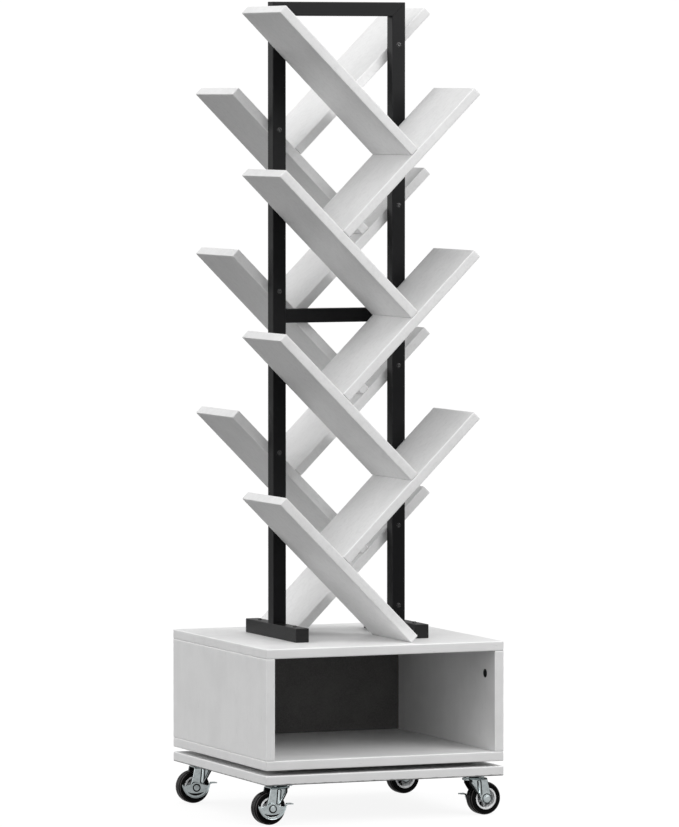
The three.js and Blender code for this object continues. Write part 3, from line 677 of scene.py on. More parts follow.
class Effects:
    """Node groups that several finishes share, each built once."""

    _made: dict[str, bpy.types.NodeTree] = {}

    @classmethod
    def _tree(cls, name: str, inputs: dict[str, str], outputs: Sequence[str]) -> tuple:
        """New group with its sockets.

        Args:
            name: name of the group.
            inputs: kind of each input, vector or value.
            outputs: names of the outputs, all values.

        Returns:
            The wiring, the group's input node and its output node.
        """
        tree = bpy.data.node_groups.new(name, "ShaderNodeTree")
        for key, kind in inputs.items():
            tree.interface.new_socket(key, in_out="INPUT", socket_type=SOCKET_KINDS[kind])
        for key in outputs:
            tree.interface.new_socket(key, in_out="OUTPUT", socket_type=SOCKET_KINDS["value"])
        wiring = Wiring(tree)
        cls._made[name] = tree
        return wiring, wiring.node("NodeGroupInput"), wiring.node("NodeGroupOutput")

    @classmethod
    def use(cls, name: str, wiring: Wiring, inputs: dict) -> dict[str, Socket]:
        """Places a shared group in a material.

        Args:
            name: which effect.
            wiring: where it goes.
            inputs: values or sockets for its inputs.

        Returns:
            Its outputs by name.
        """
        if name not in cls._made:
            getattr(cls, f"_build_{name}")()
        made = wiring.node("ShaderNodeGroup", inputs, node_tree=cls._made[name])
        return {socket.name: socket for socket in made.outputs}

    @classmethod
    def _build_board_grain(cls) -> None:
        """Printed wood grain: long streaks, finer streaks, clouds and small dark dashes."""
        outputs = ["Streak", "Cloud", "Mottle", "Fleck", "Height"]
        w, given, out = cls._tree("board_grain", {"Place": "vector", "Along": "vector"}, outputs)
        place, along = given.outputs["Place"], given.outputs["Along"]
        warp = w.noise(place, scale=9.0, detail=2.0)
        drift = w.calc("MULTIPLY", w.calc("SUBTRACT", warp, 0.5), GRAIN_DRIFT)
        bent = w.node("ShaderNodeVectorMath", {0: place, 1: drift}, operation="ADD").outputs[0]
        laid = w.stretch(bent, along)
        broad = w.noise(laid, scale=6.0, detail=4.0, rough=0.6)
        fine = w.noise(laid, scale=34.0, detail=3.0, rough=0.65)
        streak = w.blend(broad, fine, 0.4)
        cloud = w.noise(place, scale=17.0, detail=3.0, rough=0.55)
        mottle = w.noise(bent, scale=125.0, detail=4.0, rough=0.65)
        dash = w.noise(laid, scale=62.0, detail=2.0)
        sparse = w.ranged(w.noise(place, scale=26.0, detail=1.0), 0.5, 0.66)
        fleck = w.calc("MULTIPLY", w.ranged(dash, 0.66, 0.76), sparse)
        grit = w.noise(place, scale=900.0, detail=1.0)
        height = w.blend(fine, grit, 0.3)
        for key, value in zip(outputs, (streak, cloud, mottle, fleck, height)):
            w.tree.links.new(value, out.inputs[key])

    @classmethod
    def _build_grit(cls) -> None:
        """Fine even grain at a given number of grains to the metre, with larger clouds."""
        w, given, out = cls._tree("grit", {"Place": "vector", "Count": "value"}, ["Grain", "Cloud"])
        place, count = given.outputs["Place"], given.outputs["Count"]
        grain = w.noise(place, scale=count, detail=2.0, rough=0.6)
        cloud = w.noise(place, scale=22.0, detail=4.0, rough=0.6)
        w.tree.links.new(grain, out.inputs["Grain"])
        w.tree.links.new(cloud, out.inputs["Cloud"])

    @classmethod
    def _build_edge_and_shade_masks(cls) -> None:
        """Edge mask along edges, and painted shade where wear is below zero, broken up by noise.

        Reach sets how much of the edge mask shows: wear and noise have to pass a limit less the
        reach. The painted shade comes from wear below zero.
        """
        w, given, out = cls._tree(
            "edge_and_shade_masks", {"Place": "vector", "Wear": "value", "Reach": "value"}, ["Mask", "PaintedShade"]
        )
        patchy = w.noise(given.outputs["Place"], scale=95.0, detail=3.0, rough=0.6)
        need = w.calc("SUBTRACT", WEAR_LIMIT, given.outputs["Reach"])
        over = w.calc("SUBTRACT", w.calc("ADD", given.outputs["Wear"], patchy), need)
        w.tree.links.new(w.ranged(over, 0.0, 0.5), out.inputs["Mask"])
        # painted shade: wear below zero darkens the colour where shade falls
        shade_level = w.calc("ADD", w.ranged(given.outputs["Wear"], -0.8, 0.0, 1.0, 0.0), patchy)
        w.tree.links.new(w.ranged(shade_level, 0.75, 1.2), out.inputs["PaintedShade"])

    @classmethod
    def _build_settled_dust(cls) -> None:
        """Dust on faces that look up, uneven in patches."""
        w, given, out = cls._tree("settled_dust", {"Place": "vector", "Amount": "value"}, ["Mask"])
        normal = w.node("ShaderNodeNewGeometry").outputs["Normal"]
        up = w.node("ShaderNodeSeparateXYZ", {0: normal}).outputs[2]
        patches = w.noise(given.outputs["Place"], scale=70.0, detail=4.0, rough=0.65)
        patchy = w.ranged(patches, 0.35, 0.7)
        lying = w.calc("MULTIPLY", w.ranged(up, 0.35, 0.95), patchy)
        w.tree.links.new(w.calc("MULTIPLY", lying, given.outputs["Amount"]), out.inputs["Mask"])

    @classmethod
    def _build_plating(cls) -> None:
        """Zinc plate: faint crystal patches, drawing lines of the sheet and dull spots."""
        w, given, out = cls._tree("plating", {"Place": "vector"}, ["Patch", "Line", "Dull"])
        place = given.outputs["Place"]
        cells = w.node("ShaderNodeTexVoronoi", {"Vector": place, "Scale": 260.0, "Randomness": 1.0})
        patch = w.node("ShaderNodeSeparateXYZ", {0: cells.outputs["Color"]}).outputs[0]
        w.tree.links.new(patch, out.inputs["Patch"])
        lines = w.noise(w.stretch(place, DRAWN_STRETCH), scale=1500.0, detail=2.0, rough=0.6)
        spots = w.noise(place, scale=140.0, detail=4.0, rough=0.7)
        w.tree.links.new(lines, out.inputs["Line"])
        w.tree.links.new(w.ranged(spots, 0.45, 0.75), out.inputs["Dull"])


# Finishes


Colour = tuple[float, float, float]
DUST = (0.3, 0.29, 0.27, 1.0)

# A noise stays between these values nearly everywhere
NOISE_RANGE = (0.3, 0.7)

# Strength and depth in metres of the bump of a fine grain
GRAIN_BUMP = (0.3, 0.00012)


def opaque(colour: Colour, scale: float = 1.0) -> tuple[float, float, float, float]:
    """Colour with full alpha, made lighter or darker."""
    return (colour[0] * scale, colour[1] * scale, colour[2] * scale, 1.0)


@dataclass(frozen=True)
class Finish:
    """A finish: its name, its material slot, base colour, mean roughness and gloss.

    Spread is how far the roughness goes below and above its mean. In all finishes a tone is a
    factor on the base colour, and a share is how much of something a full mask brings in.
    """

    name: str
    slot: Slot
    colour: Colour
    roughness: float
    gloss: float = 0.4
    spread: tuple[float, float] = (0.07, 0.08)

    def material(self) -> bpy.types.Material:
        """The finish's material, made the first time it is asked for.

        Returns:
            The material, its pattern joined to its shader.
        """
        known = bpy.data.materials.get(self.name)
        if known:
            return known
        made = bpy.data.materials.new(self.name)
        made.use_nodes = True
        made.diffuse_color = opaque(self.colour)
        shader = next(n for n in made.node_tree.nodes if n.type == "BSDF_PRINCIPLED")
        shader.inputs["Specular IOR Level"].default_value = self.gloss
        for key, socket in self.pattern(Wiring(made.node_tree)).items():
            made.node_tree.links.new(socket, shader.inputs[key])
        return made

    def pattern(self, w: Wiring) -> dict[str, Socket]:
        """What feeds each input of the shader; every finish has its own."""
        raise NotImplementedError

    def toned(self, w: Wiring, noise: Socket, tones: tuple[float, float]) -> Socket:
        """Base colour that a noise varies between two tones."""
        dark, light = (opaque(self.colour, tone) for tone in tones)
        return w.mix(w.ranged(noise, *NOISE_RANGE), dark, light)

    def layered(self, w: Wiring, ground: Socket, layers: Sequence[tuple[Socket, float]]) -> Socket:
        """Colour over which other tones of the base colour lie.

        Args:
            w: wiring of the material.
            ground: the colour below.
            layers: mask and tone of each layer, the lowest first.

        Returns:
            The colour with its layers.
        """
        for mask, tone in layers:
            ground = w.mix(mask, ground, opaque(self.colour, tone))
        return ground

    def rough(self, w: Wiring, mask: Socket, low: float, high: float) -> Socket:
        """Roughness over its whole spread, as a mask goes from low to high."""
        less, more = self.spread
        return w.ranged(mask, low, high, self.roughness - less, self.roughness + more)


@dataclass(frozen=True)
class Melamine(Finish):
    """White board with a faint marbled grain, edges lightened as wear and as a painted highlight, and
    painted shade where wear is below zero.
    """

    spread: tuple[float, float] = (0.06, 0.07)
    along: tuple[float, float, float] = (1.0, 9.0, 9.0)
    mottling: float = 0.55
    streak_tones: tuple[float, float] = (0.97, 1.02)
    cloud_share: float = 0.18
    cloud_tone: float = 0.7
    mottle_tone: float = 0.86
    fleck_share: float = 0.45
    fleck_tone: float = 0.5
    reach: float = 0.55
    edge_lighten_share: float = 0.6
    edge_lighten_tone: float = 1.1
    painted_shade_tone: float = 0.2

    def pattern(self, w: Wiring) -> dict[str, Socket]:
        """Streaks, clouds and mottles tint the white, flecks darken it, edges lighten it as wear and painted
        highlight, and painted shade darkens it.

        Args:
            w: wiring of the material.

        Returns:
            What feeds each input of the shader.
        """
        place = w.place()
        grain = Effects.use("board_grain", w, {"Place": place, "Along": self.along})
        edge = Effects.use("edge_and_shade_masks", w, {"Place": place, "Wear": w.wear(), "Reach": self.reach})
        layers = [
            (w.ranged(grain["Cloud"], 0.42, 0.7, 0.0, self.cloud_share), self.cloud_tone),
            (w.ranged(grain["Mottle"], 0.47, 0.7, 0.0, self.mottling), self.mottle_tone),
            (w.calc("MULTIPLY", grain["Fleck"], self.fleck_share), self.fleck_tone),
            # edges lightened as rubbed wear and as a painted highlight on the rounding
            (w.calc("MULTIPLY", edge["Mask"], self.edge_lighten_share), self.edge_lighten_tone),
            # painted shade where wear is below zero, as the shade line under the base board
            (edge["PaintedShade"], self.painted_shade_tone),
        ]
        streaked = self.toned(w, grain["Streak"], self.streak_tones)
        return {
            "Base Color": self.layered(w, streaked, layers),
            "Roughness": self.rough(w, grain["Streak"], *NOISE_RANGE),
            "Normal": w.bump(grain["Height"], strength=0.35, depth=0.00025),
        }


@dataclass(frozen=True)
class Hardboard(Finish):
    """Matt panel with pressed fibres, made dark as painted shade of the cabinet's inside."""

    spread: tuple[float, float] = (0.08, 0.06)
    fibres: float = 420.0
    tones: tuple[float, float] = (0.8, 1.25)
    cloud_share: float = 0.5
    cloud_tone: float = 1.4

    def pattern(self, w: Wiring) -> dict[str, Socket]:
        """Fibres and clouds vary the dark colour.

        Args:
            w: wiring of the material.

        Returns:
            What feeds each input of the shader.
        """
        grit = Effects.use("grit", w, {"Place": w.place(), "Count": self.fibres})
        fibrous = self.toned(w, grit["Grain"], self.tones)
        cloud = w.ranged(grit["Cloud"], 0.4, 0.7, 0.0, self.cloud_share)
        return {
            "Base Color": self.layered(w, fibrous, [(cloud, self.cloud_tone)]),
            "Roughness": self.rough(w, grit["Cloud"], *NOISE_RANGE),
            "Normal": w.bump(grit["Grain"], strength=0.5, depth=0.0002),
        }


@dataclass(frozen=True)
class Coat(Finish):
    """Even coat or moulded skin with a fine grain, bare edges and painted glints, painted shade and a little
    dust.
    """

    grains: float = 950.0
    # edge colour: bare wear on tubes and caps, a painted glint on screws and the tyre
    bare_and_glint: Colour = (0.04, 0.04, 0.042)
    edge_reach: float = 0.5
    dust: float = 0.04
    tones: tuple[float, float] = (0.85, 1.2)
    bare_and_glint_share: float = 0.5
    painted_shade_tone: float = 0.08

    def edge_marks(self, w: Wiring) -> tuple[dict[str, Socket], dict[str, Socket], Socket]:
        """Clouded colour that turns to the bare and glint colour along the edges.

        Args:
            w: wiring of the material.

        Returns:
            The outputs of the grain, those of the edge and shade masks, and the colour.
        """
        place = w.place()
        grit = Effects.use("grit", w, {"Place": place, "Count": self.grains})
        edge = Effects.use("edge_and_shade_masks", w, {"Place": place, "Wear": w.wear(), "Reach": self.edge_reach})
        mask = w.calc("MULTIPLY", edge["Mask"], self.bare_and_glint_share)
        return grit, edge, w.mix(mask, self.toned(w, grit["Cloud"], self.tones), opaque(self.bare_and_glint))

    def pattern(self, w: Wiring) -> dict[str, Socket]:
        """Fine grain lifts the surface, painted shade darkens where wear is below zero and dust lies on top.

        Args:
            w: wiring of the material.

        Returns:
            What feeds each input of the shader.
        """
        grit, edge, colour = self.edge_marks(w)
        dust = Effects.use("settled_dust", w, {"Place": w.place(), "Amount": self.dust})
        # painted shade where wear is below zero, as inside the hub's rim
        shaded = self.layered(w, colour, [(edge["PaintedShade"], self.painted_shade_tone)])
        return {
            "Base Color": w.mix(dust["Mask"], shaded, DUST),
            "Roughness": self.rough(w, grit["Grain"], *NOISE_RANGE),
            "Normal": w.bump(grit["Grain"], *GRAIN_BUMP),
        }


@dataclass(frozen=True)
class Rubber(Coat):
    """Black rubber with a soft sheen, greyed and dulled along its wear, which on the tyre is painted glint
    lines.
    """

    spread: tuple[float, float] = (0.05, 0.05)
    tones: tuple[float, float] = (0.8, 1.3)
    scuff_rough: float = 0.16

    def pattern(self, w: Wiring) -> dict[str, Socket]:
        """Grey, rougher marks follow the wear attribute, which on the tyre is painted glint lines on the
        tread.

        Args:
            w: wiring of the material.

        Returns:
            What feeds each input of the shader.
        """
        grit, edge, colour = self.edge_marks(w)
        matt = w.ranged(edge["Mask"], 0.0, 1.0, 0.0, self.scuff_rough)
        return {
            "Base Color": colour,
            "Roughness": w.calc("ADD", self.rough(w, grit["Grain"], *NOISE_RANGE), matt),
            "Normal": w.bump(grit["Grain"], *GRAIN_BUMP),
        }


@dataclass(frozen=True)
class Plated(Finish):
    """Bright plate over pressed steel, with painted shade where its wear is below zero and on its sheltered
    inner side.
    """

    spread: tuple[float, float] = (0.04, 0.12)
    dull: Colour = (0.44, 0.495, 0.505)
    # darkness painted on the inner side of bent sheets as shade
    shelter_shade: float = 0.9
    patch_tones: tuple[float, float] = (0.93, 1.05)
    dull_share: float = 0.4
    reach: float = 0.5
    edge_lighten_share: float = 0.5
    edge_lighten_tone: float = 1.25
    painted_shade_tone: float = 0.03
    line_rough: float = 0.05
    painted_shade_rough: float = 0.2
    metal: tuple[float, float] = (0.96, 0.82)

    def pattern(self, w: Wiring) -> dict[str, Socket]:
        """Crystal patches and drawing lines in the gloss, dull spots in both, and painted shade that darkens
        and roughens.

        Args:
            w: wiring of the material.

        Returns:
            What feeds each input of the shader.
        """
        place = w.place()
        skin = Effects.use("plating", w, {"Place": place})
        edge = Effects.use("edge_and_shade_masks", w, {"Place": place, "Wear": w.wear(), "Reach": self.reach})
        patched = self.toned(w, skin["Patch"], self.patch_tones)
        spotted = w.mix(w.calc("MULTIPLY", skin["Dull"], self.dull_share), patched, opaque(self.dull))
        # painted shade: below-zero wear and the sheltered inner side, darkened as shade
        painted_shade = w.calc("MAXIMUM", edge["PaintedShade"], w.calc("MULTIPLY", w.sheltered(), self.shelter_shade))
        layers = [
            (w.calc("MULTIPLY", edge["Mask"], self.edge_lighten_share), self.edge_lighten_tone),
            (painted_shade, self.painted_shade_tone),
        ]
        lines = w.ranged(skin["Line"], *NOISE_RANGE, -self.line_rough, self.line_rough)
        shade_share = w.calc("MULTIPLY", painted_shade, self.painted_shade_rough)
        return {
            "Base Color": self.layered(w, spotted, layers),
            "Roughness": w.calc("ADD", self.rough(w, skin["Dull"], 0.0, 1.0), w.calc("ADD", lines, shade_share)),
            "Metallic": w.ranged(skin["Dull"], 0.0, 1.0, *self.metal),
            "Normal": w.bump(skin["Line"], strength=0.25, depth=0.00006),
        }


WHITE = Melamine("white_melamine", Slot.WHITE_BOARD, (0.805, 0.805, 0.805), 0.42)
CALM_WHITE = Melamine("calm_white_melamine", Slot.WHITE_BOARD, (0.8, 0.8, 0.8), 0.42, mottling=0.06)
# the dark back panel stands in for shade deep inside the cabinet
PANEL = Hardboard("shade_dark_hardboard", Slot.DARK_PANEL, (0.11, 0.107, 0.105), 0.62, gloss=0.3)
STEEL = Coat("black_powder_coat", Slot.BLACK_STEEL, (0.0045, 0.0045, 0.005), 0.36, gloss=0.13)
# the screws' light edge colour paints glints on the heads
SCREW = Coat(
    "blackened_screw",
    Slot.BLACK_STEEL,
    (0.01, 0.01, 0.0105),
    0.26,
    gloss=0.7,
    grains=1600.0,
    bare_and_glint=(0.19, 0.19, 0.19),
    edge_reach=0.6,
)
CAP = Coat(
    "black_end_cap", Slot.BLACK_PLASTIC, (0.008, 0.008, 0.0085), 0.46, gloss=0.24, grains=1300.0
)
ZINC = Plated("bright_zinc", Slot.ZINC_STEEL, (0.68, 0.745, 0.755), 0.15)
DULL_ZINC = Plated("dull_zinc", Slot.ZINC_STEEL, (0.68, 0.745, 0.755), 0.4)
BALLS = Plated("bearing_steel", Slot.BEARING_STEEL, (0.6, 0.6, 0.6), 0.18, dull=(0.42, 0.42, 0.42))
HUB = Coat(
    "grey_hub_plastic",
    Slot.GREY_HUB,
    (0.93, 0.94, 0.95),
    0.3,
    gloss=0.5,
    grains=1300.0,
    bare_and_glint=(0.95, 0.95, 0.95),
    dust=0.0,
)
# the tyre's lighter edge colour paints glints along fine tread lines
TYRE = Rubber(
    "tyre_rubber",
    Slot.BLACK_RUBBER,
    (0.003, 0.003, 0.003),
    0.22,
    gloss=0.07,
    grains=700.0,
    bare_and_glint=(0.26, 0.235, 0.235),
    edge_reach=0.45,
)


# Making pieces


def make_piece(
    name: str,
    shape: Shape,
    finish: Finish,
    body: str,
    stands_for: Sequence[str] = (),
    sheet: float = 0.0,
) -> bpy.types.Object:
    """Turns a shape into a piece of the object.

    Args:
        name: name of the piece.
        shape: its surface in millimetres, already in position.
        finish: its finish.
        body: CAD body that it rides on.
        stands_for: CAD nodes that it replaces.
        sheet: thickness in millimetres that an open surface is given inwards, or 0.

    Returns:
        The piece, at the origin, with its place in its mesh.
    """
    mesh = bpy.data.meshes.new(name)
    mesh.from_pydata((shape.points * MM).tolist(), [], shape.faces)
    wear = mesh.attributes.new("wear", "FLOAT", "POINT")
    wear.data.foreach_set("value", shape.wear.astype(np.float32))
    place = mesh.attributes.new("place", "FLOAT_VECTOR", "POINT")
    place.data.foreach_set("vector", shape.place.astype(np.float32).ravel())
    mesh.polygons.foreach_set("use_smooth", np.ones(len(mesh.polygons), bool))
    mesh.set_sharp_from_angle(angle=math.radians(SMOOTH_ANGLE))
    mesh.materials.append(finish.material())
    mesh.validate()
    piece = bpy.data.objects.new(name, mesh)
    bpy.context.scene.collection.objects.link(piece)
    if sheet:
        normals = np.empty(3 * len(mesh.vertices), np.float32)
        mesh.vertex_normals.foreach_get("vector", normals)
        outward = mesh.attributes.new("outward", "FLOAT_VECTOR", "POINT")
        outward.data.foreach_set("vector", normals)
        thick = piece.modifiers.new("thickness", "SOLIDIFY")
        thick.thickness = sheet * MM
        thick.offset = -1.0
        thick.use_even_offset = True
    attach(piece, body)
    if stands_for:
        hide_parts(*stands_for)
    log.info("%s: %d faces on %s", name, len(shape.faces), body)
    return piece


def middle(node: str) -> Vector:
    """Middle of a CAD node's box, in millimetres."""
    low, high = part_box(node)
    return (low + high) / 2 * PER_METRE


# Boards


@dataclass(frozen=True)
class Board:
    """White board with rounded, slightly rubbed edges, its grain along its length.

    Foot_shade is the wear that paints a shade line low on the lower rounding, up to foot_share of it, and on
    top.
    """

    node: str
    length: float
    depth: float
    turned: Matrix
    body: str = "bookshelf"
    thickness: float = 15.0
    edge: float = 1.35
    margin: float = 2.5
    shaded_foot: bool = False
    foot_share: float = 0.8
    foot_shade: tuple[float, float] = (-1.0, -0.42)
    finish: Melamine = CALM_WHITE

    def build(self, seed: int) -> bpy.types.Object:
        """Edge profile carried round the board, put in the middle of its solid.

        Args:
            seed: picks the part of the grain that this board shows.

        Returns:
            The board.
        """
        outline = RoundRect(self.length, self.depth, self.edge, shoulder=self.margin)
        half = self.thickness / 2
        shape = plate(outline, -half, half, self.edge, shoulder=self.margin).seeded(seed)
        # painted shade line along the lower edge of the board
        if self.shaded_foot:
            height = shape.points[:, 2] + half
            shaded = height < self.edge + 0.1
            levels = [self.foot_share * self.edge, self.edge]
            shape.wear[shaded] = np.interp(height[shaded], levels, self.foot_shade)
        placed = shape.put(Matrix.Translation(middle(self.node)) @ self.turned)
        return make_piece(f"{self.node}_board", placed, self.finish, self.body, [self.node])


@dataclass(frozen=True)
class ShelfTree:
    """Fourteen slanted boards, in a set before the frame and a set behind it."""

    levels: int = 4
    length: float = 312.7
    depth: float = 160.0
    slant: float = 45.0
    first_seed: int = 101

    def build(self) -> None:
        """Boards that fall to the right or to the left, by the names of their solids."""
        seed = self.first_seed
        for name, count, falls_right in (
            ("front_shelf_left", self.levels, True),
            ("front_shelf_right", self.levels - 1, False),
            ("back_shelf_left", self.levels - 1, True),
            ("back_shelf_right", self.levels, False),
        ):
            turned = turn(self.slant if falls_right else -self.slant, "Y")
            for level in range(1, count + 1):
                Board(f"{name}_{level}", self.length, self.depth, turned, finish=WHITE).build(seed)
                seed += 1


@dataclass(frozen=True)
class CamCap:
    """Round plastic cap over a fixing, with a cross slot."""

    radius: float = 6.8
    proud: float = 1.2
    recess: float = 3.9

    def build(self, node: str, facing: float) -> bpy.types.Object:
        """Cap on the inside of a side board.

        Args:
            node: CAD node that it stands for.
            facing: +1 where it faces the right, -1 where it faces the left.

        Returns:
            The cap.
        """
        head = ScrewHead(self.radius, self.proud, Recess.CROSS, self.recess, flange=0.5, count=64)
        at = middle(node)
        seat = shift(at.x - facing * self.proud / 2, at.y, at.z) @ turn(90 * facing, "Y")
        return make_piece(f"{node}_plug", head.build().put(seat), CAP, "bookshelf", [node])


@dataclass(frozen=True)
class Cabinet:
    """Open cabinet: four boards, a back made dark as painted shade, and a cap inside each side board."""

    width: float = 400.0
    depth: float = 400.0
    opening: float = 158.0
    board: float = 15.0
    back: float = 6.0
    back_edge: float = 0.3

    def build(self) -> None:
        """Builds the boards, the back panel and the caps."""
        lying, standing = Matrix.Identity(4), turn(90, "Y")
        Board("base_board", self.width, self.depth, lying, "base", shaded_foot=True).build(seed=1)
        Board("cabinet_bottom", self.width, self.depth, lying).build(seed=2)
        Board("cabinet_top", self.width, self.depth, lying).build(seed=3)
        Board("cabinet_left", self.opening, self.depth, standing).build(seed=4)
        Board("cabinet_right", self.opening, self.depth, standing).build(seed=5)
        outline = RoundRect(self.width - 2 * self.board, self.opening, self.back_edge)
        half = self.back / 2
        seat = Matrix.Translation(middle("cabinet_back")) @ turn(90, "X")
        panel = plate(outline, -half, half, self.back_edge).put(seat)
        make_piece("cabinet_back_panel", panel, PANEL, "bookshelf", ["cabinet_back"])
        CamCap().build("cam_cap_left", 1)
        CamCap().build("cam_cap_right", -1)


# Frame


@dataclass(frozen=True)
class SquareTube:
    """Square tube with rounded corners, closed at both ends by its neighbours.

    Edge_marks is the wear of the seven points of each corner.
    """

    size: float = 22.0
    corner: float = 1.0
    seam: float = 0.25
    edge_marks: tuple[float, ...] = (0, 0.3, 0.8, 1, 0.8, 0.3, 0)

    def build(self, length: float, low_side: int = 0, high_side: int = 0) -> Shape:
        """Square outline carried along Z from zero.

        A mitred end is cut at 45 degrees: at the side named, +1 or -1 along x, the tube has
        its full length, and each millimetre away from that side takes a millimetre off. The
        last bit before each end is drawn in a little, which leaves a fine line where two
        tubes meet.

        Args:
            length: length along the longer side.
            low_side: long side of the lower end, or 0 for a square end.
            high_side: long side of the upper end, or 0 for a square end.

        Returns:
            The tube.
        """
        outline = RoundRect(self.size, self.size, self.corner, shoulder=1.2)
        edge_marks = np.tile(self.edge_marks, 4)
        rows, wear = [], []
        for inset, end, side, way in (
            (self.seam, 0.0, low_side, 1),
            (0.0, self.seam, low_side, 1),
            (0.0, length - self.seam, high_side, -1),
            (self.seam, length, high_side, -1),
        ):
            flat = outline.at(inset)
            cut = abs(side) * self.size / 2 - side * flat[:, 0]
            rows.append(np.column_stack([flat, end + way * cut]))
            wear.append(edge_marks)
        return lofted(np.array(rows), np.array(wear))


def fillet_weld(length: float, size: float, seed: int) -> Shape:
    """Weld bead along X in a corner between -Z and +Y: a rounded bar with ripples.

    Args:
        length: length of the bead.
        size: leg of the bead.
        seed: shifts its ripples.

    Returns:
        The bead. Its radius is 0.72 of its leg times 1 + 0.1 sin, a wave of 1.7 mm, and it
        ends round: times the root of 1 less the eighth power of the way from its middle.
    """
    x = np.linspace(-length / 2, length / 2, 60)
    ends = np.sqrt(np.clip(1 - (np.abs(x) / (length / 2)) ** 8, 0.02, 1))
    wave_length, wave_height, share = 1.7, 0.1, 0.72
    ripple = 1 + wave_height * np.sin(2 * math.pi * x / wave_length + seed)
    section = share * size * Circle(1.0, count=14).at(0)
    return swept(np.column_stack([x, 0 * x, 0 * x]), section, (0, 0, 1), ends * ripple)


@dataclass(frozen=True)
class SteelFrame:
    """Tube frame standing on two feet, with its screws, welds and end caps."""

    tube: float = 22.0
    cap: float = 2.0
    cap_edge: float = 0.5
    cap_corner: float = 1.0
    levels: int = 4
    pitch: float = 253.0
    length: float = 313.0
    board: float = 15.0
    board_bevel: float = 0.8
    set_shift: float = 3.5
    foot_screw: float = 74.0
    low_screw: float = 23.0
    shelf_screw_rise: float = 4.0
    bead: float = 2.2
    bead_margin: float = 2.5
    head: ScrewHead = ScrewHead(4.0, 2.2, Recess.HEX, 1.75)
    upright_seed: int = 20
    bar_seed: int = 31
    foot_seed: int = 40

    def crossings(self) -> tuple[list[float], list[float]]:
        """Heights of the screws where the boards cross the right upright.

        From the tip of the topmost board its middle line falls as far as it runs in.

        Returns:
            Heights for the boards behind the frame and for those before it.
        """
        slant = math.sin(math.pi / 4)
        tip_x = (self.length + self.board) * slant - self.pitch / 4
        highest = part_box("front_shelf_left_1")[1].z * PER_METRE
        tip_top = highest - (self.board - self.board_bevel) * slant
        fall = tip_x - middle("upright_right").x - self.board / 2 / slant
        top = tip_top - fall + self.shelf_screw_rise
        behind = [top - k * self.pitch + self.set_shift for k in range(self.levels)]
        before = [top - (k + 0.5) * self.pitch - self.set_shift for k in range(self.levels - 1)]
        return behind, before

    def screws(self, x: float, heights: Sequence[float], front: bool) -> Shape:
        """Heads on the front or rear face of an upright.

        Args:
            x: middle of the upright.
            heights: height of each head.
            front: whether they are on the front face.

        Returns:
            The heads.
        """
        seat = self.tube / 2 * (-1 if front else 1)
        facing = turn(90 if front else -90, "X")
        return joined([self.head.build().put(shift(x, seat, z) @ facing) for z in heights])

    def build_upright(self, side: Side) -> None:
        """Mitred upright and its screws; the left one is the right one turned half round.

        Args:
            side: which upright.
        """
        node = f"upright_{side.name.lower()}"
        at = middle(node)
        low, high = (v * PER_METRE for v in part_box(node))
        tube = SquareTube(self.tube).build(high.z - low.z, 0, side.value)
        placed = tube.seeded(self.upright_seed + side.value).put(shift(at.x, 0, low.z))
        make_piece(f"{node}_tube", placed, STEEL, "bookshelf", [node])
        behind, before = self.crossings()
        foot = [low.z + self.low_screw]
        on_front, on_rear = (behind + foot, before) if side is Side.RIGHT else (before, behind + foot)
        heads = self.screws(at.x, on_front, True) + self.screws(at.x, on_rear, False)
        make_piece(f"{node}_screws", heads, SCREW, "bookshelf")

    def build_bars(self) -> None:
        """Top bar mitred at both ends, crossbar, and the beads where tubes meet."""
        laid = turn(90, "Y")
        for number, (node, side) in enumerate((("top_bar", -1), ("crossbar", 0))):
            low, high = (v * PER_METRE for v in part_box(node))
            bar = SquareTube(self.tube).build(high.x - low.x, side, side).seeded(self.bar_seed + number)
            at = shift(low.x, 0, (low.z + high.z) / 2) @ laid
            make_piece(f"{node}_tube", bar.put(at), STEEL, "bookshelf", [node])
        low, high = (v * PER_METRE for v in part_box("crossbar"))
        run = self.tube - 2 * self.bead_margin
        beads = []
        for x in (low.x, high.x):
            for z in (low.z, high.z):
                bead = fillet_weld(run, self.bead, int(x + z))
                beads.append(bead.put(shift(x, 0, z) @ turn(90, "Z")))
        for side in ("left", "right"):
            at, top = middle(f"upright_{side}"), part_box(f"upright_{side}")[0].z * PER_METRE
            for y in (-self.tube / 2, self.tube / 2):
                beads.append(fillet_weld(run, self.bead, int(y)).put(shift(at.x, y, top)))
        make_piece("frame_welds", joined(beads), STEEL, "bookshelf")

    def build_foot(self, side: Side) -> None:
        """Foot, its two screws and its two end caps.

        Args:
            side: which foot.
        """
        name = side.name.lower()
        node = f"foot_{name}"
        at = middle(node)
        low, high = (v * PER_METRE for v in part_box(node))
        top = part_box(f"upright_{name}")[0].z * PER_METRE
        level = top - self.tube / 2
        tube = SquareTube(self.tube).build(high.y - low.y).seeded(self.foot_seed + side.value)
        laid = tube.put(shift(at.x, high.y, level) @ turn(90, "X"))
        make_piece(f"{node}_tube", laid, STEEL, "bookshelf", [node])
        ends = (-self.foot_screw, self.foot_screw)
        heads = joined([self.head.build().put(shift(at.x, y, top)) for y in ends])
        make_piece(f"{node}_screws", heads, SCREW, "bookshelf")
        outline = RoundRect(self.tube, self.tube, self.cap_corner, shoulder=1.0)
        plug = plate(outline, 0.0, self.cap, self.cap_edge, shoulder=1.0)
        for end, sign in (("front", -1), ("back", 1)):
            cap_node = f"foot_cap_{name}_{end}"
            seat = shift(at.x, sign * high.y, level) @ turn(-90 * sign, "X")
            make_piece(f"{cap_node}_end", plug.put(seat), CAP, "bookshelf", [cap_node])

    def build(self) -> None:
        """Builds the whole frame."""
        for side in Side:
            self.build_upright(side)
            self.build_foot(side)
        self.build_bars()


# Turntable


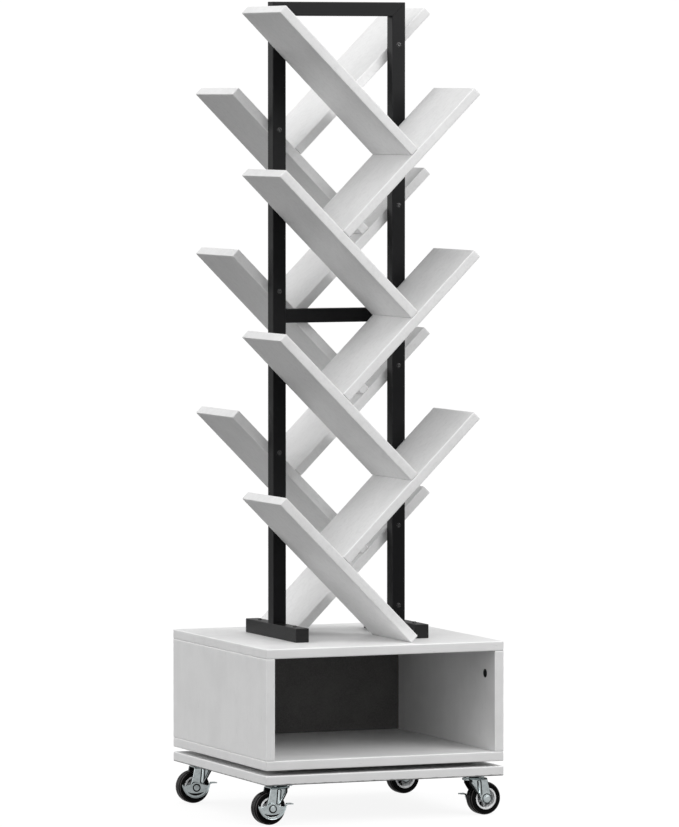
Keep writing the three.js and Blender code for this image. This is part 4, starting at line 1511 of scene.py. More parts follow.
@dataclass(frozen=True)
class Turntable:
    """Two pressed plates with ball races, and a cage of balls between them."""

    size: float = 150.0
    corner: float = 12.0
    sheet: float = 1.2
    sheet_edge: float = 0.35
    hole: float = 28.0
    circle: float = 55.0
    ball_radius: float = 2.4
    balls: int = 12
    gap: float = 8.0
    screw: ScrewHead = ScrewHead(4.2, 1.5, Recess.CROSS, 2.4)
    screw_inset: float = 13.0
    race_half: float = 7.5
    flank: float = 1.3
    flank_top: float = 2.1
    groove_play: float = 0.5
    lip_play: float = 1.2
    cage_half: float = 3.6
    cage_rise: float = 0.5

    def race_profile(self) -> list[tuple[float, float]]:
        """Section of the race: rising flanks, a lip at each side and a groove for the balls.

        Returns:
            (radius, height) points. The groove is an arc about the middle of a ball.
        """
        groove = self.ball_radius + self.groove_play
        lip = self.gap / 2 - self.lip_play
        half = math.asin(self.lip_play / groove)
        inner = [
            (self.circle + groove * math.cos(a), self.gap / 2 + groove * math.sin(a))
            for a in np.linspace(-half, half - math.pi, 9)
        ]
        wide = self.race_half
        flank = [(wide, self.sheet - 0.1), (wide - self.flank, lip - 0.5), (wide - self.flank_top, lip)]
        outer = [(self.circle + x, z) for x, z in flank]
        rest = [(self.circle - x, z) for x, z in flank[::-1]]
        return outer + inner + rest

    def pressed_plate(self) -> Shape:
        """Plate facing up from z = 0.

        Returns:
            Its sheet, its rounded race and its screws.
        """
        outline = RoundRect(self.size, self.size, self.corner, steps=8)
        hole = Circle(self.hole, count=72)
        sheet = plate(outline, 0.0, self.sheet, self.sheet_edge, holes=[hole], shoulder=0.8)
        race = revolved(self.race_profile(), count=96, closed=True)
        corner = self.size / 2 - self.screw_inset
        return joined([sheet, race, *four_screws(self.screw, corner, self.sheet)])

    def cage(self) -> Shape:
        """Cage about z = 0.

        Returns:
            A flat ring, and the balls seated in it.
        """
        inner, outer = self.circle - self.cage_half, self.circle + self.cage_half
        rise = self.cage_rise
        corners = [(inner, -rise), (outer, -rise), (outer, rise), (inner, rise)]
        ring = revolved(corners, count=96, closed=True)
        seats = Circle(self.circle, self.balls).at(0)
        return joined([ring, *(ball(self.ball_radius, (x, y, 0)) for x, y in seats)])

    def build(self) -> None:
        """Builds both plates and the cage."""
        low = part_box("turntable_lower")[0].z * PER_METRE
        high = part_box("turntable_upper")[1].z * PER_METRE
        lower = self.pressed_plate().put(shift(z=low))
        make_piece("turntable_lower_plate", lower, ZINC, "base", ["turntable_lower"])
        upper = self.pressed_plate().put(shift(z=high) @ turn(180, "X"))
        make_piece("turntable_upper_plate", upper, ZINC, "bookshelf", ["turntable_upper"])
        cage = self.cage().put(shift(z=(low + high) / 2))
        make_piece("turntable_ball_cage", cage, BALLS, "ball_cage", ["turntable_cage"])


# Casters


@dataclass(frozen=True)
class CasterSizes:
    """Sizes that the parts of a caster share, in millimetres.

    A caster's own frame has the swivel pin on Z, the wheel trailing towards +X and the brake
    on the +Y side.
    """

    height: float = 64.0
    wheel: float = 26.0
    trail: float = 20.0
    mount_sheet: float = 2.5
    race: float = 1.6
    play: float = 0.3
    boss: float = 1.0
    crown_radius: float = 16.3
    leg_inside: float = 11.7
    sheet: float = 2.0
    rib: float = 1.8
    brake_gap: float = 0.4
    brake_sheet: float = 1.2

    @property
    def mount_bottom(self) -> float:
        """Lower face of the mounting plate."""
        return self.height - self.mount_sheet

    @property
    def race_bottom(self) -> float:
        """Lower face of the cup under the mounting plate."""
        return self.mount_bottom - self.race

    @property
    def crown_top(self) -> float:
        """Upper face of the fork's crown."""
        return self.race_bottom - self.play - self.boss

    @property
    def leg_outside(self) -> float:
        """Outer face of a fork leg."""
        return self.leg_inside + self.sheet

    @property
    def brake_inside(self) -> float:
        """Inner face of the brake."""
        return self.leg_outside + self.rib + self.brake_gap

    @property
    def brake_outside(self) -> float:
        """Outer face of the brake."""
        return self.brake_inside + self.brake_sheet


SIZES = CasterSizes()


def about_axle() -> Matrix:
    """Carries what is made about Z to the axle, its +Z towards the brake."""
    return shift(SIZES.trail, 0, SIZES.wheel) @ turn(-90, "X")


def four_screws(head: ScrewHead, corner: float, level: float) -> list[Shape]:
    """A head over each corner of a square plate."""
    seats = [shift(x * corner, y * corner, level) for x in (-1, 1) for y in (-1, 1)]
    return [head.build().put(seat) for seat in seats]


@dataclass(frozen=True)
class Mount:
    """Mounting plate with its race cup, the rivet of the swivel pin and four screws."""

    size: float = 36.0
    corner: float = 4.0
    screw_inset: float = 5.2
    cup: float = 12.0
    cup_draft: float = 2.0
    pin: float = 4.0
    rivet: float = 6.5
    rivet_top: float = 55.8
    rivet_height: float = 2.6
    rivet_waist: float = 0.8
    screw: ScrewHead = ScrewHead(3.4, 1.5, Recess.CROSS, 2.0)

    def shape(self) -> Shape:
        """Rounded square plate, revolved cup and rivet, and screws facing down.

        Returns:
            The plate; the cup is darkened all over as painted shade.
        """
        low = SIZES.mount_bottom
        outline = RoundRect(self.size, self.size, self.corner, steps=6)
        base = plate(outline, low, SIZES.height, radius=0.5, shoulder=0.8)
        under, over = SIZES.race_bottom, low + 0.4
        cup = [(0, under, 0), (self.cup, under, 0.7), (self.cup + self.cup_draft, over, 0.6), (0, over, 0)]
        top, foot = self.rivet_top, self.rivet_top - self.rivet_height
        rivet = [(0, foot, 0), (self.rivet * self.rivet_waist, foot, 1.3), (self.rivet, top, 0.5)]
        rivet += [(self.pin, top, 0), (self.pin, under + 0.3, 0), (0, under + 0.3, 0)]
        heads = four_screws(self.screw, self.size / 2 - self.screw_inset, 0.0)
        screws = joined(heads).put(shift(z=low) @ turn(180, "X"))
        race = revolved(rounded_profile(cup), count=64)
        # painted shade: the cup under the plate darkened as a shadow
        race.wear[:] = -1.0
        return joined([base, race, revolved(rounded_profile(rivet), count=40), screws])


@dataclass(frozen=True)
class Fork:
    """Fork bent from one sheet, with a race boss and ribs pressed into its legs."""

    bend: float = 3.0
    rear: float = 1.0
    brow: float = 8.5
    end: float = 8.0
    end_arc: tuple[float, float] = (0.1, 0.97)
    rib_width: float = 3.8
    rib_foot: float = 2.0
    rib_rise: float = 2.2
    rib_top_ahead: float = 13.4
    rib_end_ahead: float = 11.4
    rib_end_rise: float = 5.0
    fold_width: float = 1.8
    fold_reach: float = 0.7
    boss: float = 12.0
    boss_draft: float = 1.5
    washer: tuple[float, float] = (4.4, 11.0)
    washer_drops: tuple[float, float] = (2.6, 1.8)
    # painted shade in a ring round the axle head
    shade_ring: float = 7.2
    shade_ring_width: float = 0.7
    skirt_drop: float = 3.4
    skirt_round: float = 0.9
    skirt_draft: float = 0.12
    turn_start: float = -1.0
    turn_slope: float = 0.52
    # dark band painted along the turned-in front, as shade
    dark_front: float = 4.8
    dark_foot: float = 1.2
    dark_fade: float = 0.5
    edge_wear: float = 0.9

    def touch(self, x: float, z: float, side: int) -> tuple[float, float]:
        """Where a straight edge from a point touches the round end about the axle.

        Args:
            x: place of the point ahead of the pin.
            z: its height.
            side: 1 for the front of the round end, -1 for its rear.

        Returns:
            x and z of the touching point, at the angle whose cosine is radius over distance.
        """
        dx, dz = x - SIZES.trail, z - SIZES.wheel
        angle = math.atan2(dz, dx) + side * math.acos(self.end / math.hypot(dx, dz))
        return SIZES.trail + self.end * math.cos(angle), SIZES.wheel + self.end * math.sin(angle)

    @property
    def brow_point(self) -> tuple[float, float]:
        """Lower end of a leg's upright front edge."""
        x = -math.sqrt(SIZES.crown_radius**2 - SIZES.leg_outside**2)
        return x, SIZES.crown_top - self.brow

    def edge(self, z: Array, x: float, high: float, side: int) -> Array:
        """One edge of a leg: upright, then straight to the round end, then round.

        Args:
            z: heights.
            x: place of the upright part.
            high: height where it starts to slant.
            side: 1 for the front edge, -1 for the rear one.

        Returns:
            x at each height.
        """
        touch_x, touch_z = self.touch(x, high, side)
        slanting = x + (touch_x - x) * (high - z) / (high - touch_z)
        half = np.sqrt(np.clip(self.end**2 - (z - SIZES.wheel) ** 2, 0, None))
        return np.where(z >= high, x, np.where(z > touch_z, slanting, SIZES.trail - side * half))

    def turned_in(self, shape: Shape) -> Shape:
        """Narrows the front of a shape, as far as it lies before a line across both legs.

        Args:
            shape: the shape, in the caster's own frame.

        Returns:
            The same shape, each y less the slope times the way past the line.
        """
        ahead = np.clip(self.turn_start - shape.points[:, 0], 0, None)
        share = np.clip(shape.points[:, 1] / SIZES.leg_outside, -1.2, 1.2)
        shape.points[:, 1] -= ahead * self.turn_slope * share
        return shape

    def bent_sheet(self) -> Shape:
        """Outer face of the sheet.

        One parameter runs up one leg, over the crown and down the other, with a round bend at
        each shoulder; the other runs from the front edge to the rear edge. On the crown the
        front edge is a circle about the pin. Shade is painted in a ring round the axle and in a
        dark band along the turned-in front.

        Returns:
            The open surface, to be given its thickness inwards.
        """
        top, out, bend = SIZES.crown_top, SIZES.leg_outside, self.bend
        brow_x, brow_z = self.brow_point
        around = SIZES.wheel + self.end * np.cos(np.linspace(*self.end_arc, 14) * math.pi)
        upper, slanted = np.linspace(top - bend, brow_z, 6)[1:], np.linspace(brow_z, around[0], 16)
        down = np.concatenate([upper, slanted[1:-1], around])
        a = np.linspace(0, math.pi / 2, 7)
        flat = np.linspace(0, out - bend, 7)[:-1]
        y = np.concatenate([flat, out - bend + bend * np.sin(a), np.full(len(down), out)])
        z = np.concatenate([np.full(len(flat), top), top - bend + bend * np.cos(a), down])
        rear_x = SIZES.trail + self.rear
        front = np.where(z > brow_z, -np.sqrt(SIZES.crown_radius**2 - y**2), self.edge(z, brow_x, brow_z, 1))
        rear = self.edge(z, rear_x, top - bend, -1)
        t = np.linspace(0, 1, 36)
        x = front[:, None] + (rear - front)[:, None] * t
        half = np.stack([x, np.repeat(y[:, None], len(t), 1), np.repeat(z[:, None], len(t), 1)], -1)
        rows = np.vstack([half[::-1] * [1, -1, 1], half[1:]])
        from_axle = np.hypot(rows[..., 0] - SIZES.trail, rows[..., 2] - SIZES.wheel)
        # painted shade ring round the axle
        wear = -np.exp(-(((from_axle - self.shade_ring) / self.shade_ring_width) ** 2))
        wear[:, [0, -1]] = self.edge_wear
        # painted shade band along the turned-in front
        levels = [SIZES.wheel, brow_z, top - bend, top]
        band = np.interp(rows[:, :1, 2], levels, [0.0, self.dark_front, self.dark_front, 0.0])
        band = np.where(band > 0, band + self.dark_foot * (1 - band / self.dark_front), 0.0)
        wear -= np.clip((band - (rows[..., 0] - rows[:, :1, 0])) / self.dark_fade, 0, 2)
        return self.turned_in(lofted(rows, np.clip(wear, -1, 1), round_=False))

    def skirt(self) -> Shape:
        """Front edge of the crown turned down, from one leg round to the other.

        Returns:
            A flat bar carried along the circle about the pin.
        """
        reach = math.acos(self.brow_point[0] / SIZES.crown_radius)
        a = np.linspace(reach, 2 * math.pi - reach, 40)
        middle_r = SIZES.crown_radius - SIZES.sheet / 2
        level = SIZES.crown_top - self.skirt_drop / 2 - 0.25
        path = np.column_stack([middle_r * np.cos(a), middle_r * np.sin(a), np.full(len(a), level)])
        section = RoundRect(SIZES.sheet, self.skirt_drop, self.skirt_round, shoulder=0.3).at(0)
        section[:, 0] += self.skirt_draft * (section[:, 1] - self.skirt_drop / 2)
        return swept(path, section, (0, 0, 1))

    def rib(
        self, start: tuple[float, float], stop: tuple[float, float], width: float, foot: float, shade_share: float
    ) -> Shape:
        """Half-round bar pressed into the outer face of the +Y leg.

        Args:
            start: x and z of one end.
            stop: x and z of the other end.
            width: width without its feet.
            foot: width of the flat foot along each side.
            shade_share: how much painted shade darkens the feet, 0 to 1.

        Returns:
            The bar.
        """
        half, high = width / 2, SIZES.rib
        side = [(half + foot, -0.3), (half + foot - 0.1, 0.06), (half + 0.2, 0.12), (half, 0.4)]
        side += [(half * 0.86, high * 0.6), (half * 0.55, high * 0.92)]
        section = np.array([*side, (0, high), *((-x, y) for x, y in side[::-1])])
        # painted shade along the rib's feet, as in a shaded crease
        edge_marks = np.array([-shade_share, -shade_share, -shade_share, -0.7 * shade_share, 0.3, 0.9])
        t = np.linspace(0, 1, 26)
        length = math.hypot(stop[0] - start[0], stop[1] - start[1])
        ends = np.clip(np.minimum(t, 1 - t) * length / self.rib_rise, 0, 1)
        ahead = np.array(stop) - np.array(start)
        flat = np.array(start) + t[:, None] * ahead
        path = np.column_stack([flat[:, 0], np.full(len(t), SIZES.leg_outside), flat[:, 1]])
        scale = np.sqrt(np.clip(1 - (1 - ends) ** 2, 0.03, 1))
        return swept(path, section, (0, 1, 0), scale, np.concatenate([edge_marks, [1.0], edge_marks[::-1]]))

    def pressings(self) -> Shape:
        """What is pressed into the fork or turns with it.

        Returns:
            Boss, thrust washer, skirt and the ribs of both legs.
        """
        top = SIZES.crown_top
        foot = self.boss + self.boss_draft
        boss = [(0, top - 0.4, 0), (foot, top - 0.4, 0.2), (self.boss, top + SIZES.boss, 0.7)]
        boss += [(0, top + SIZES.boss, 0)]
        inner, outer = self.washer
        low, high = (top - drop for drop in self.washer_drops)
        washer = [(inner, low, 0), (outer, low, 0.4), (outer, high, 0), (inner, high, 0)]
        turned = revolved(rounded_profile(boss), count=64)
        turned += revolved(rounded_profile(washer), count=48, closed=True)
        trail, wheel = SIZES.trail, SIZES.wheel
        upright = self.rib(
            (trail - self.rib_top_ahead, top - self.bend + 0.6),
            (trail - self.rib_end_ahead, wheel + self.rib_end_rise),
            self.rib_width,
            self.rib_foot,
            1.0,
        )
        brow = np.array(self.brow_point)
        run = (np.array(self.touch(*brow, 1)) - brow) * self.fold_reach
        inset = np.array([-run[1], run[0]]) / np.hypot(*run) * self.dark_front
        fold = self.rib(tuple(brow + inset), tuple(brow + 0.5 * inset + run), self.fold_width, 0.4, 0.0)
        ribs = upright + fold
        pressed = joined([self.skirt(), ribs, ribs.put(Matrix.Scale(-1, 4, (0, 1, 0)))])
        return turned + self.turned_in(pressed)


@dataclass(frozen=True)
class Axle:
    """Bolt with a round head at each end, a rolled flange and a collar under the brake."""

    radius: float = 3.0
    head: float = 5.3
    head_height: float = 3.0
    head_round: float = 1.5
    taper: float = 0.3
    flange: float = 6.3
    flange_sheet: float = 1.0
    collar: float = 4.5
    play: float = 0.15
    # width of painted shade round the foot of the head
    shaded: float = 0.6
    washer: float = 6.6
    washer_under: float = 1.2
    washer_sheet: float = 0.3
    washer_slack: float = 0.9

    def shape(self) -> Shape:
        """Bolt about Z, its profile going from the plain end to the brake end.

        Returns:
            The bolt, with painted shade at the foot of its head at the brake.
        """
        left, leg = -SIZES.leg_outside - self.play, SIZES.leg_outside + self.play
        right, brake = SIZES.brake_outside + self.play, SIZES.brake_inside - self.play
        far, over = self.head_height, self.flange_sheet
        profile = [
            (0, left - far, 0),
            (self.head - self.taper, left - far, self.head_round),
            (self.head, left - over, 0.2),
            (self.flange, left - over, 0.25),
            (self.flange, left, 0.25),
            (self.radius, left, 0),
            (self.radius, leg, 0),
            (self.collar, leg, 0),
            (self.collar, brake, 0),
            (self.radius, brake, 0),
            (self.radius, right, 0),
            (self.head, right, 0.3),
            (self.head - self.taper, right + far, self.head_round),
            (0, right + far, 0),
        ]
        bolt = revolved(rounded_profile(profile, steps=5), count=48)
        across = np.hypot(bolt.points[:, 0], bolt.points[:, 1])
        at_brake = bolt.points[:, 2] > 0
        # painted shade round the foot of the head at the brake
        bolt.wear = np.where(at_brake & (across > self.head - self.shaded), -1.0, 0.0)
        return bolt

    def washer_ring(self) -> Shape:
        """Dark washer round the head at the brake, hanging a little loose on its shank; its dark colour
        paints the shade round the head.

        Returns:
            The flat ring, about Z.
        """
        inner, outer = self.head - self.washer_under, self.washer
        low = SIZES.brake_outside + 0.05
        high = low + self.washer_sheet
        corners = [(inner, low, 0), (outer, low, 0.1), (outer, high, 0.1), (inner, high, 0)]
        ring = revolved(rounded_profile(corners, steps=2, closed=True), count=48, closed=True)
        return ring.put(shift(-self.washer_slack, self.washer_slack * 0.6))


@dataclass(frozen=True)
class Wheel:
    """Spoked hub and a tyre with rounded shoulders."""

    half: float = 10.5
    rim: float = 17.4
    rim_wall: float = 2.9
    rim_proud: float = 0.5
    boss: float = 6.2
    boss_half: float = 11.4
    bore: float = 3.2
    spokes: int = 6
    spoke_width: float = 3.4
    spoke_half: float = 3.6
    spoke_root: float = 1.0
    spoke_edge: float = 0.7
    boss_taper: float = 0.9
    shoulder: float = 4.5
    lip: float = 1.6
    step: float = 0.45
    groove: float = 0.2
    touch: float = 0.05
    tread_glints: tuple[float, float] = (9.3, 3.0)
    tread_glint_width: float = 0.3
    hub_shade: float = 7.5

    def hub(self) -> Shape:
        """Rim, boss and spokes about Z.

        Returns:
            The hub, darkened deep inside its rim by painted shade.
        """
        inside, edge = self.rim - self.rim_wall, self.half + self.rim_proud
        rim = [(inside, -edge, 0.6), (self.rim, -edge, 0.4), (self.rim, edge, 0.4), (inside, edge, 0.6)]
        end, near = self.boss_half, self.spoke_half + 4
        boss = [(self.bore, -end, 0.2), (self.boss - self.boss_taper, -end, 0.5), (self.boss, -near, 0.8)]
        boss += [(self.boss, near, 0.8), (self.boss - self.boss_taper, end, 0.5), (self.bore, end, 0.2)]
        reach = inside - self.boss + 2 * self.spoke_root
        bar = RoundRect(reach, self.spoke_width, radius=0.9, shoulder=0.4)
        spoke = plate(bar, -self.spoke_half, self.spoke_half, self.spoke_edge, shoulder=0.3)
        out = shift((inside + self.boss) / 2)
        steps = (turn((i + 0.5) * 360 / self.spokes, "Z") for i in range(self.spokes))
        arms = [spoke.put(step @ out) for step in steps]
        turned = [revolved(rounded_profile(k, closed=True), count=72, closed=True) for k in (rim, boss)]
        hub = joined(turned + arms)
        across = np.hypot(hub.points[:, 0], hub.points[:, 1])
        # painted shade deep inside the rim
        deep = (np.abs(hub.points[:, 2]) < self.hub_shade) & (np.abs(across - inside) < 0.2)
        hub.wear = np.where(deep, -1.0, hub.wear)
        return hub

    def tyre(self) -> Shape:
        """Revolved section: bead, fine step, shoulder arc, and a groove round the middle.

        Returns:
            The tyre, its tread lightened along fine lines of painted glint that fade like exp(-d squared).
        """
        inner, crown = self.rim + self.touch, SIZES.wheel
        middle_r, middle_z = crown - self.shoulder, self.half - self.shoulder
        a = np.linspace(math.pi / 2, 0, 24)
        arc = [(middle_r + self.shoulder * math.cos(t), middle_z + self.shoulder * math.sin(t)) for t in a]
        start, low = inner + self.lip, self.half - self.step
        step = [(start, self.half), (start + 0.4, low), (start + 1.0, low), (start + 1.4, self.half - 0.05)]
        tread = [(crown, z) for z in np.linspace(middle_z - 0.25, 0.75, 20)]
        tread += [(crown, 0.5), (crown - self.groove, 0.15)]
        half = [(inner, self.half), *step, *arc, *tread]
        profile = [(r, -z) for r, z in half] + half[::-1]
        tyre = revolved(profile, count=96, closed=True)
        radius = np.hypot(tyre.points[:, 0], tyre.points[:, 1])
        across = np.abs(tyre.points[:, 2])
        # painted glint lines on the tread
        lines = sum(np.exp(-(((across - line) / self.tread_glint_width) ** 2)) for line in self.tread_glints)
        tyre.wear = np.where(radius > self.rim + 2, np.clip(lines, 0, 1), 0.0)
        return tyre


@dataclass(frozen=True)
class Brake:
    """Slotted crescent with a rolled lower edge and an arm with a tab to step on."""

    reach: float = 23.5
    top: float = 5.5
    drop: float = 17.0
    dip_x: float = 19.5
    dip: float = 2.4
    boss: float = 8.5
    boss_spread: float = 0.85
    rim: float = 4.2
    slot: float = 3.3
    slot_spread: float = 0.78
    lip: float = 1.6
    lip_end: float = 0.12
    tab_length: float = 12.0
    tab_flat: float = 9.0
    tab_width: float = 12.0
    tab_rise: float = 6.9
    ridge: float = 0.35
    ridge_line: tuple[float, ...] = (-9.0, -5.0, -1.5)
    ridge_pitch: float = 1.8
    ridges: int = 4
    liner_edge: float = 1.2
    liner_sheet: float = 0.7

    @property
    def centre(self) -> float:
        """Height over the axle of the middle of the lower edge's circle."""
        return (self.reach**2 + self.top**2 - self.drop**2) / (2 * (self.top + self.drop))

    @property
    def radius(self) -> float:
        """Radius of the lower edge."""
        return self.centre + self.drop

    @property
    def tip(self) -> float:
        """Angle of a tip over the level, seen from the middle of the lower edge's circle."""
        return math.atan2(self.top - self.centre, self.reach)

    def arc(self, radius: float, centre: float, start: float, stop: float, count: int) -> Array:
        """Points of an arc about (0, centre)."""
        a = np.linspace(start, stop, count)
        return np.stack([radius * np.cos(a), centre + radius * np.sin(a)], 1)

    def outline(self) -> Drawn:
        """Round below, hollow beside both tips, a boss about the axle.

        Returns:
            The line round the crescent.
        """
        lower = self.arc(self.radius, self.centre, math.pi - self.tip, 2 * math.pi + self.tip, count=56)
        over = self.arc(self.boss, 0.0, self.boss_spread, math.pi - self.boss_spread, count=16)
        dips = np.array([[self.dip_x, self.dip], [-self.dip_x, self.dip]])
        return Drawn(np.vstack([lower, dips[:1], over, dips[1:]]))

    def slot_line(self) -> Drawn:
        """Slot along the lower rim: an arc below and a flatter one above.

        Returns:
            The line round the slot.
        """
        lower, spread, down = self.radius - self.rim, self.slot_spread, -math.pi / 2
        half = lower * math.sin(spread)
        bow = lower * (1 - math.cos(spread)) - self.slot
        upper = (half**2 + bow**2) / (2 * bow)
        wide = math.asin(half / upper)
        under = self.arc(lower, self.centre, down - spread, down + spread, count=24)
        middle_z = self.centre - lower + self.slot + upper
        over = self.arc(upper, middle_z, down + wide, down - wide, count=24)[1:-1]
        return Drawn(np.vstack([under, over]))

    def shape(self) -> Shape:
        """The brake about its axle, with x forward and z up.

        Returns:
            Crescent, rolled edge, arm, and a tab with ridges.
        """
        sheet, inside, outside = SIZES.brake_sheet, SIZES.brake_inside, SIZES.brake_outside
        upright = shift(y=outside) @ turn(90, "X")
        slot = [self.slot_line()]
        crescent = plate(self.outline(), 0.0, sheet, radius=0.25, holes=slot, shoulder=0.25, steps=3)
        first, last = math.pi - self.tip + self.lip_end, 2 * math.pi + self.tip - self.lip_end
        line = self.arc(self.radius - sheet / 2, self.centre, first, last, count=48)
        level = inside + (sheet + self.lip) / 2
        path = np.column_stack([line[:, 0], np.full(len(line), level), line[:, 1]])
        rolled = RoundRect(sheet, sheet + self.lip, radius=0.5, steps=3, shoulder=0.1)
        lip = swept(path, rolled.at(0), (0, 1, 0))
        start, out = 2 - self.reach, -self.reach - self.tab_length
        bend, low = out + self.tab_flat, self.tab_rise - sheet
        arm = [(start, self.dip), (start, self.top), (bend, self.tab_rise), (out, self.tab_rise)]
        arm += [(out, low), (bend, low)]
        rod = plate(Drawn(np.array(arm[::-1])), 0, sheet, radius=0.2, shoulder=0.15, steps=2)
        tread = RoundRect(self.tab_flat, self.tab_width, radius=2.0, shoulder=0.3)
        seat = shift(out + self.tab_flat / 2, outside - self.tab_width / 2)
        tab = plate(tread, low, self.tab_rise, radius=0.4, shoulder=0.4).put(seat)
        ridge = np.array([[0, y, self.tab_rise - 0.15] for y in self.ridge_line]) + [0, outside, 0]
        bead = Circle(self.ridge, count=8).at(0)
        steps = (out + self.ridge_pitch * k for k in range(1, self.ridges + 1))
        ridges = [swept(ridge + [step, 0, 0], bead, (0, 0, 1)) for step in steps]
        return joined([crescent.put(upright), lip, rod.put(upright), tab, *ridges])

    def liner(self) -> Shape:
        """Dark friction pad that shows through the slot.

        Returns:
            The pad, a little wider than the slot.
        """
        outline = Drawn(self.slot_line().at(-self.liner_edge))
        pad = plate(outline, 0.0, self.liner_sheet, radius=0.15, shoulder=0.3, steps=2)
        return pad.put(shift(y=SIZES.brake_inside) @ turn(90, "X"))


@dataclass(frozen=True)
class Caster:
    """Swivel caster: its parts put at its pin and turned the way that its wheel trails."""

    corner: str

    def build(self) -> None:
        """Builds all pieces of the caster where its joints say."""
        pin = JOINTS[f"swivel_{self.corner}"]["pos_m"]
        hub = JOINTS[f"wheel_spin_{self.corner}"]["pos_m"]
        seat = shift(pin[0] / MM, pin[1] / MM)
        swung = seat @ turn(math.degrees(math.atan2(hub[1] - pin[1], hub[0] - pin[0])), "Z")
        hung, pressed = swung @ about_axle(), swung @ shift(SIZES.trail, 0, SIZES.wheel)
        fork, wheel, axle, brake = Fork(), Wheel(), Axle(), Brake()
        swivel, spin, pedal = (f"{kind}_{self.corner}" for kind in ("caster", "wheel", "brake_pedal"))
        for kind, shape, at, finish, body, node, sheet in (
            ("mounting_plate", Mount().shape(), seat, ZINC, "base", "caster_plate", 0.0),
            ("pressed_fork", fork.bent_sheet(), swung, ZINC, swivel, "fork", SIZES.sheet),
            ("fork_ribs", fork.pressings(), swung, ZINC, swivel, "", 0.0),
            ("axle_bolt", axle.shape(), hung, DULL_ZINC, swivel, "axle", 0.0),
            # the dark washer stands in for shade round the axle head
            ("axle_washer", axle.washer_ring(), hung, CAP, swivel, "", 0.0),
            ("spoked_hub", wheel.hub(), hung, HUB, spin, "hub", 0.0),
            ("rubber_tyre", wheel.tyre(), hung, TYRE, spin, "tyre", 0.0),
            ("foot_brake", brake.shape(), pressed, ZINC, pedal, "brake", 0.0),
            ("brake_liner", brake.liner(), pressed, TYRE, pedal, "", 0.0),
        ):
            stands_for = [f"{node}_{self.corner}"] if node else []
            placed = shape.seeded(len(kind)).put(at)
            make_piece(f"{kind}_{self.corner}", placed, finish, body, stands_for, sheet)


# Studio


@dataclass(frozen=True)
class Sky:
    """Strength of the soft light from each side low down, and from above."""

    front: float = 0.75
    front_right: float = 0.08
    right: float = 0.12
    back: float = 0.6
    left: float = 1.8
    front_left: float = 0.75
    above: float = 1.4
    most: float = 2.0
    fades: tuple[float, float] = (0.4, 0.75)

    def strength(self, w: Wiring, way: Socket) -> Socket:
        """Light from a direction: a ramp round the object, which fades into the light above.

        Args:
            w: wiring of the world.
            way: the direction.

        Returns:
            The strength.
        """
        x, y, z = w.node("ShaderNodeSeparateXYZ", {0: way}).outputs
        around = w.calc("ARCTAN2", x, w.calc("MULTIPLY", y, -1.0))
        ramp = w.node("ShaderNodeValToRGB", {0: w.ranged(around, -math.pi, math.pi)})
        stops = ramp.color_ramp.elements
        stops[0].position, stops[1].position = 0.0, 1.0
        for place in (0.25, 0.375, 0.5, 0.625, 0.75):
            stops.new(place)
        round_about = (
            self.back, self.left, self.front_left, self.front, self.front_right, self.right, self.back
        )
        for stop, value in zip(stops, round_about):
            stop.color = (*[value / self.most] * 3, 1.0)
        low = w.calc("MULTIPLY", ramp.outputs[0], self.most)
        high = w.ranged(z, *self.fades)
        return w.node("ShaderNodeMix", {0: high, 2: low, 3: self.above}).outputs[0]


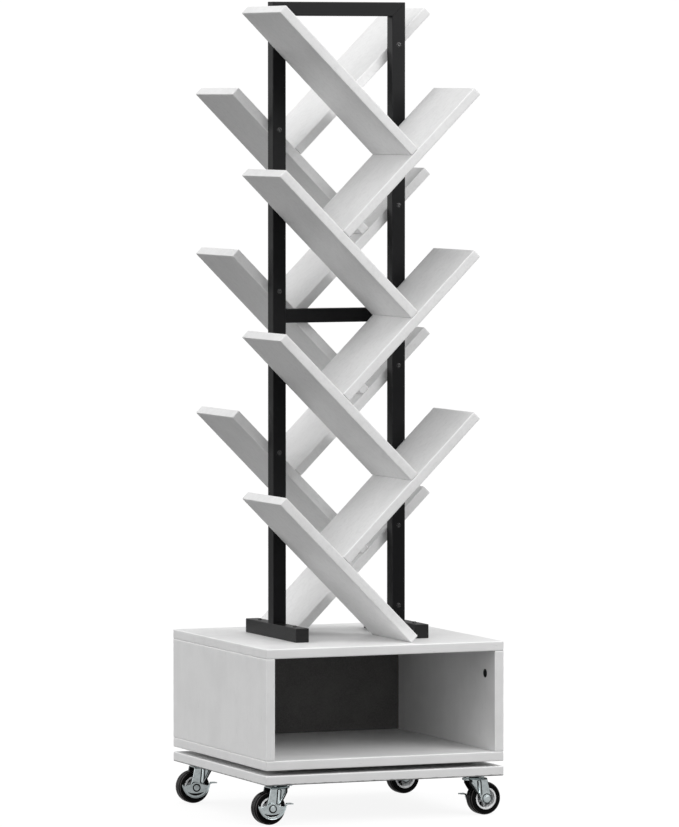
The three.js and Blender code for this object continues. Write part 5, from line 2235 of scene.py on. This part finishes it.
@dataclass(frozen=True)
class Studio:
    """Pale floor, soft light and the camera at the photograph's angle."""

    distance: float = 10.008
    azimuth: float = 22.40
    tilt: float = 2.967
    eye: float = 1.1442
    focal_px: float = 6355.0
    middle_px: float = 336.7
    sky: Sky = Sky()
    backdrop: float = 1.02
    key_power: float = 34.0
    key_at: tuple[float, float, float] = (1.2, -2.2, 1.8)
    key_aim: tuple[float, float, float] = (0.0, 0.0, 0.6)
    key_size: float = 1.4
    sensor: float = 36.0
    floor_half: float = 30.0
    floor_tones: tuple[float, float] = (0.1, 0.13)
    floor_glow: float = 0.9
    floor_shine: float = 0.42
    least_shine: float = 0.02

    def build_camera(self) -> None:
        """Long lens far away; a hair of turn puts the picture's middle where it was."""
        data = bpy.data.cameras.new("camera")
        data.sensor_fit = "AUTO"
        data.sensor_width = self.sensor
        data.lens = self.focal_px * data.sensor_width / max(PHOTO_SIZE)
        data.clip_start, data.clip_end = 0.5, 100.0
        camera = bpy.data.objects.new("camera", data)
        bpy.context.scene.collection.objects.link(camera)
        way = math.radians(self.azimuth)
        camera.location = (-self.distance * math.sin(way), -self.distance * math.cos(way), self.eye)
        off = math.atan((PHOTO_SIZE[0] / 2 - self.middle_px) / self.focal_px)
        heading, down = way + off, math.radians(self.tilt)
        level = math.cos(down)
        look = Vector((math.sin(heading) * level, math.cos(heading) * level, -math.sin(down)))
        camera.rotation_mode = "QUATERNION"
        camera.rotation_quaternion = look.to_track_quat("-Z", "Y")
        bpy.context.scene.camera = camera

    def build_floor(self) -> None:
        """Large pale floor that is brighter to the eye than to what it lights."""
        size = self.floor_half
        mesh = bpy.data.meshes.new("floor")
        corners = [(-size, -size, 0), (size, -size, 0), (size, size, 0), (-size, size, 0)]
        mesh.from_pydata(corners, [], [(0, 1, 2, 3)])
        floor = bpy.data.objects.new("floor", mesh)
        bpy.context.scene.collection.objects.link(floor)
        material = bpy.data.materials.new("pale_floor")
        material.use_nodes = True
        w = Wiring(material.node_tree)
        material.node_tree.nodes.clear()
        place = w.node("ShaderNodeTexCoord").outputs["Object"]
        dark, light = (opaque((tone, tone, tone)) for tone in self.floor_tones)
        tone = w.mix(w.ranged(w.noise(place, scale=3.0), *NOISE_RANGE), dark, light)
        seen = w.node("ShaderNodeBsdfDiffuse", {"Color": tone})
        glow = w.node("ShaderNodeEmission", {"Color": (1, 1, 1, 1), "Strength": self.floor_glow})
        both = w.node("ShaderNodeAddShader", {0: seen.outputs[0], 1: glow.outputs[0]})
        felt = w.node("ShaderNodeBsdfDiffuse", {"Color": dark})
        x, y, _ = w.node("ShaderNodeSeparateXYZ", {0: place}).outputs
        rightwards = w.calc("ADD", x, w.calc("MULTIPLY", y, 0.5))
        shine = w.ranged(rightwards, 0.15, 0.4, self.floor_shine, self.least_shine)
        path = w.node("ShaderNodeLightPath").outputs
        mirrored = w.calc("MULTIPLY", shine, path["Is Glossy Ray"])
        shown = w.node("ShaderNodeEmission", {"Color": (1, 1, 1, 1), "Strength": mirrored})
        lit = w.node("ShaderNodeAddShader", {0: felt.outputs[0], 1: shown.outputs[0]})
        ray = path["Is Camera Ray"]
        mixed = w.node("ShaderNodeMixShader", {0: ray, 1: lit.outputs[0], 2: both.outputs[0]})
        w.node("ShaderNodeOutputMaterial", {0: mixed.outputs[0]})
        mesh.materials.append(material)

    def build_sky(self) -> None:
        """White sky, plain behind the object for the camera."""
        scene = bpy.context.scene
        scene.view_settings.view_transform = "Standard"
        world = bpy.data.worlds.new("studio")
        scene.world = world
        world.use_nodes = True
        background = next(n for n in world.node_tree.nodes if n.type == "BACKGROUND")
        w = Wiring(world.node_tree)
        soft = self.sky.strength(w, w.node("ShaderNodeTexCoord").outputs["Generated"])
        ray = w.node("ShaderNodeLightPath").outputs["Is Camera Ray"]
        strength = w.node("ShaderNodeMix", {0: ray, 2: soft, 3: self.backdrop}).outputs[0]
        background.inputs["Color"].default_value = (1, 1, 1, 1)
        w.tree.links.new(strength, background.inputs["Strength"])

    def build_key(self) -> None:
        """Large soft light high up in front."""
        data = bpy.data.lights.new("key", "AREA")
        data.shape, data.size, data.size_y = "RECTANGLE", self.key_size, self.key_size
        data.energy = self.key_power
        lamp = bpy.data.objects.new("key", data)
        bpy.context.scene.collection.objects.link(lamp)
        lamp.location = self.key_at
        aim = Vector(self.key_aim) - Vector(self.key_at)
        lamp.rotation_mode = "QUATERNION"
        lamp.rotation_quaternion = aim.to_track_quat("-Z", "Y")

    def build(self) -> None:
        """Builds the floor, the light and the camera."""
        self.build_floor()
        self.build_sky()
        self.build_key()
        self.build_camera()


def main() -> None:
    """Builds every sub-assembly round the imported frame."""
    logging.basicConfig(level=logging.INFO, format="%(name)s %(message)s")
    Cabinet().build()
    ShelfTree().build()
    SteelFrame().build()
    Turntable().build()
    for corner in ("front_left", "back_left", "front_right", "back_right"):
        Caster(corner).build()
    Studio().build()


if __name__ == "__main__":
    main()
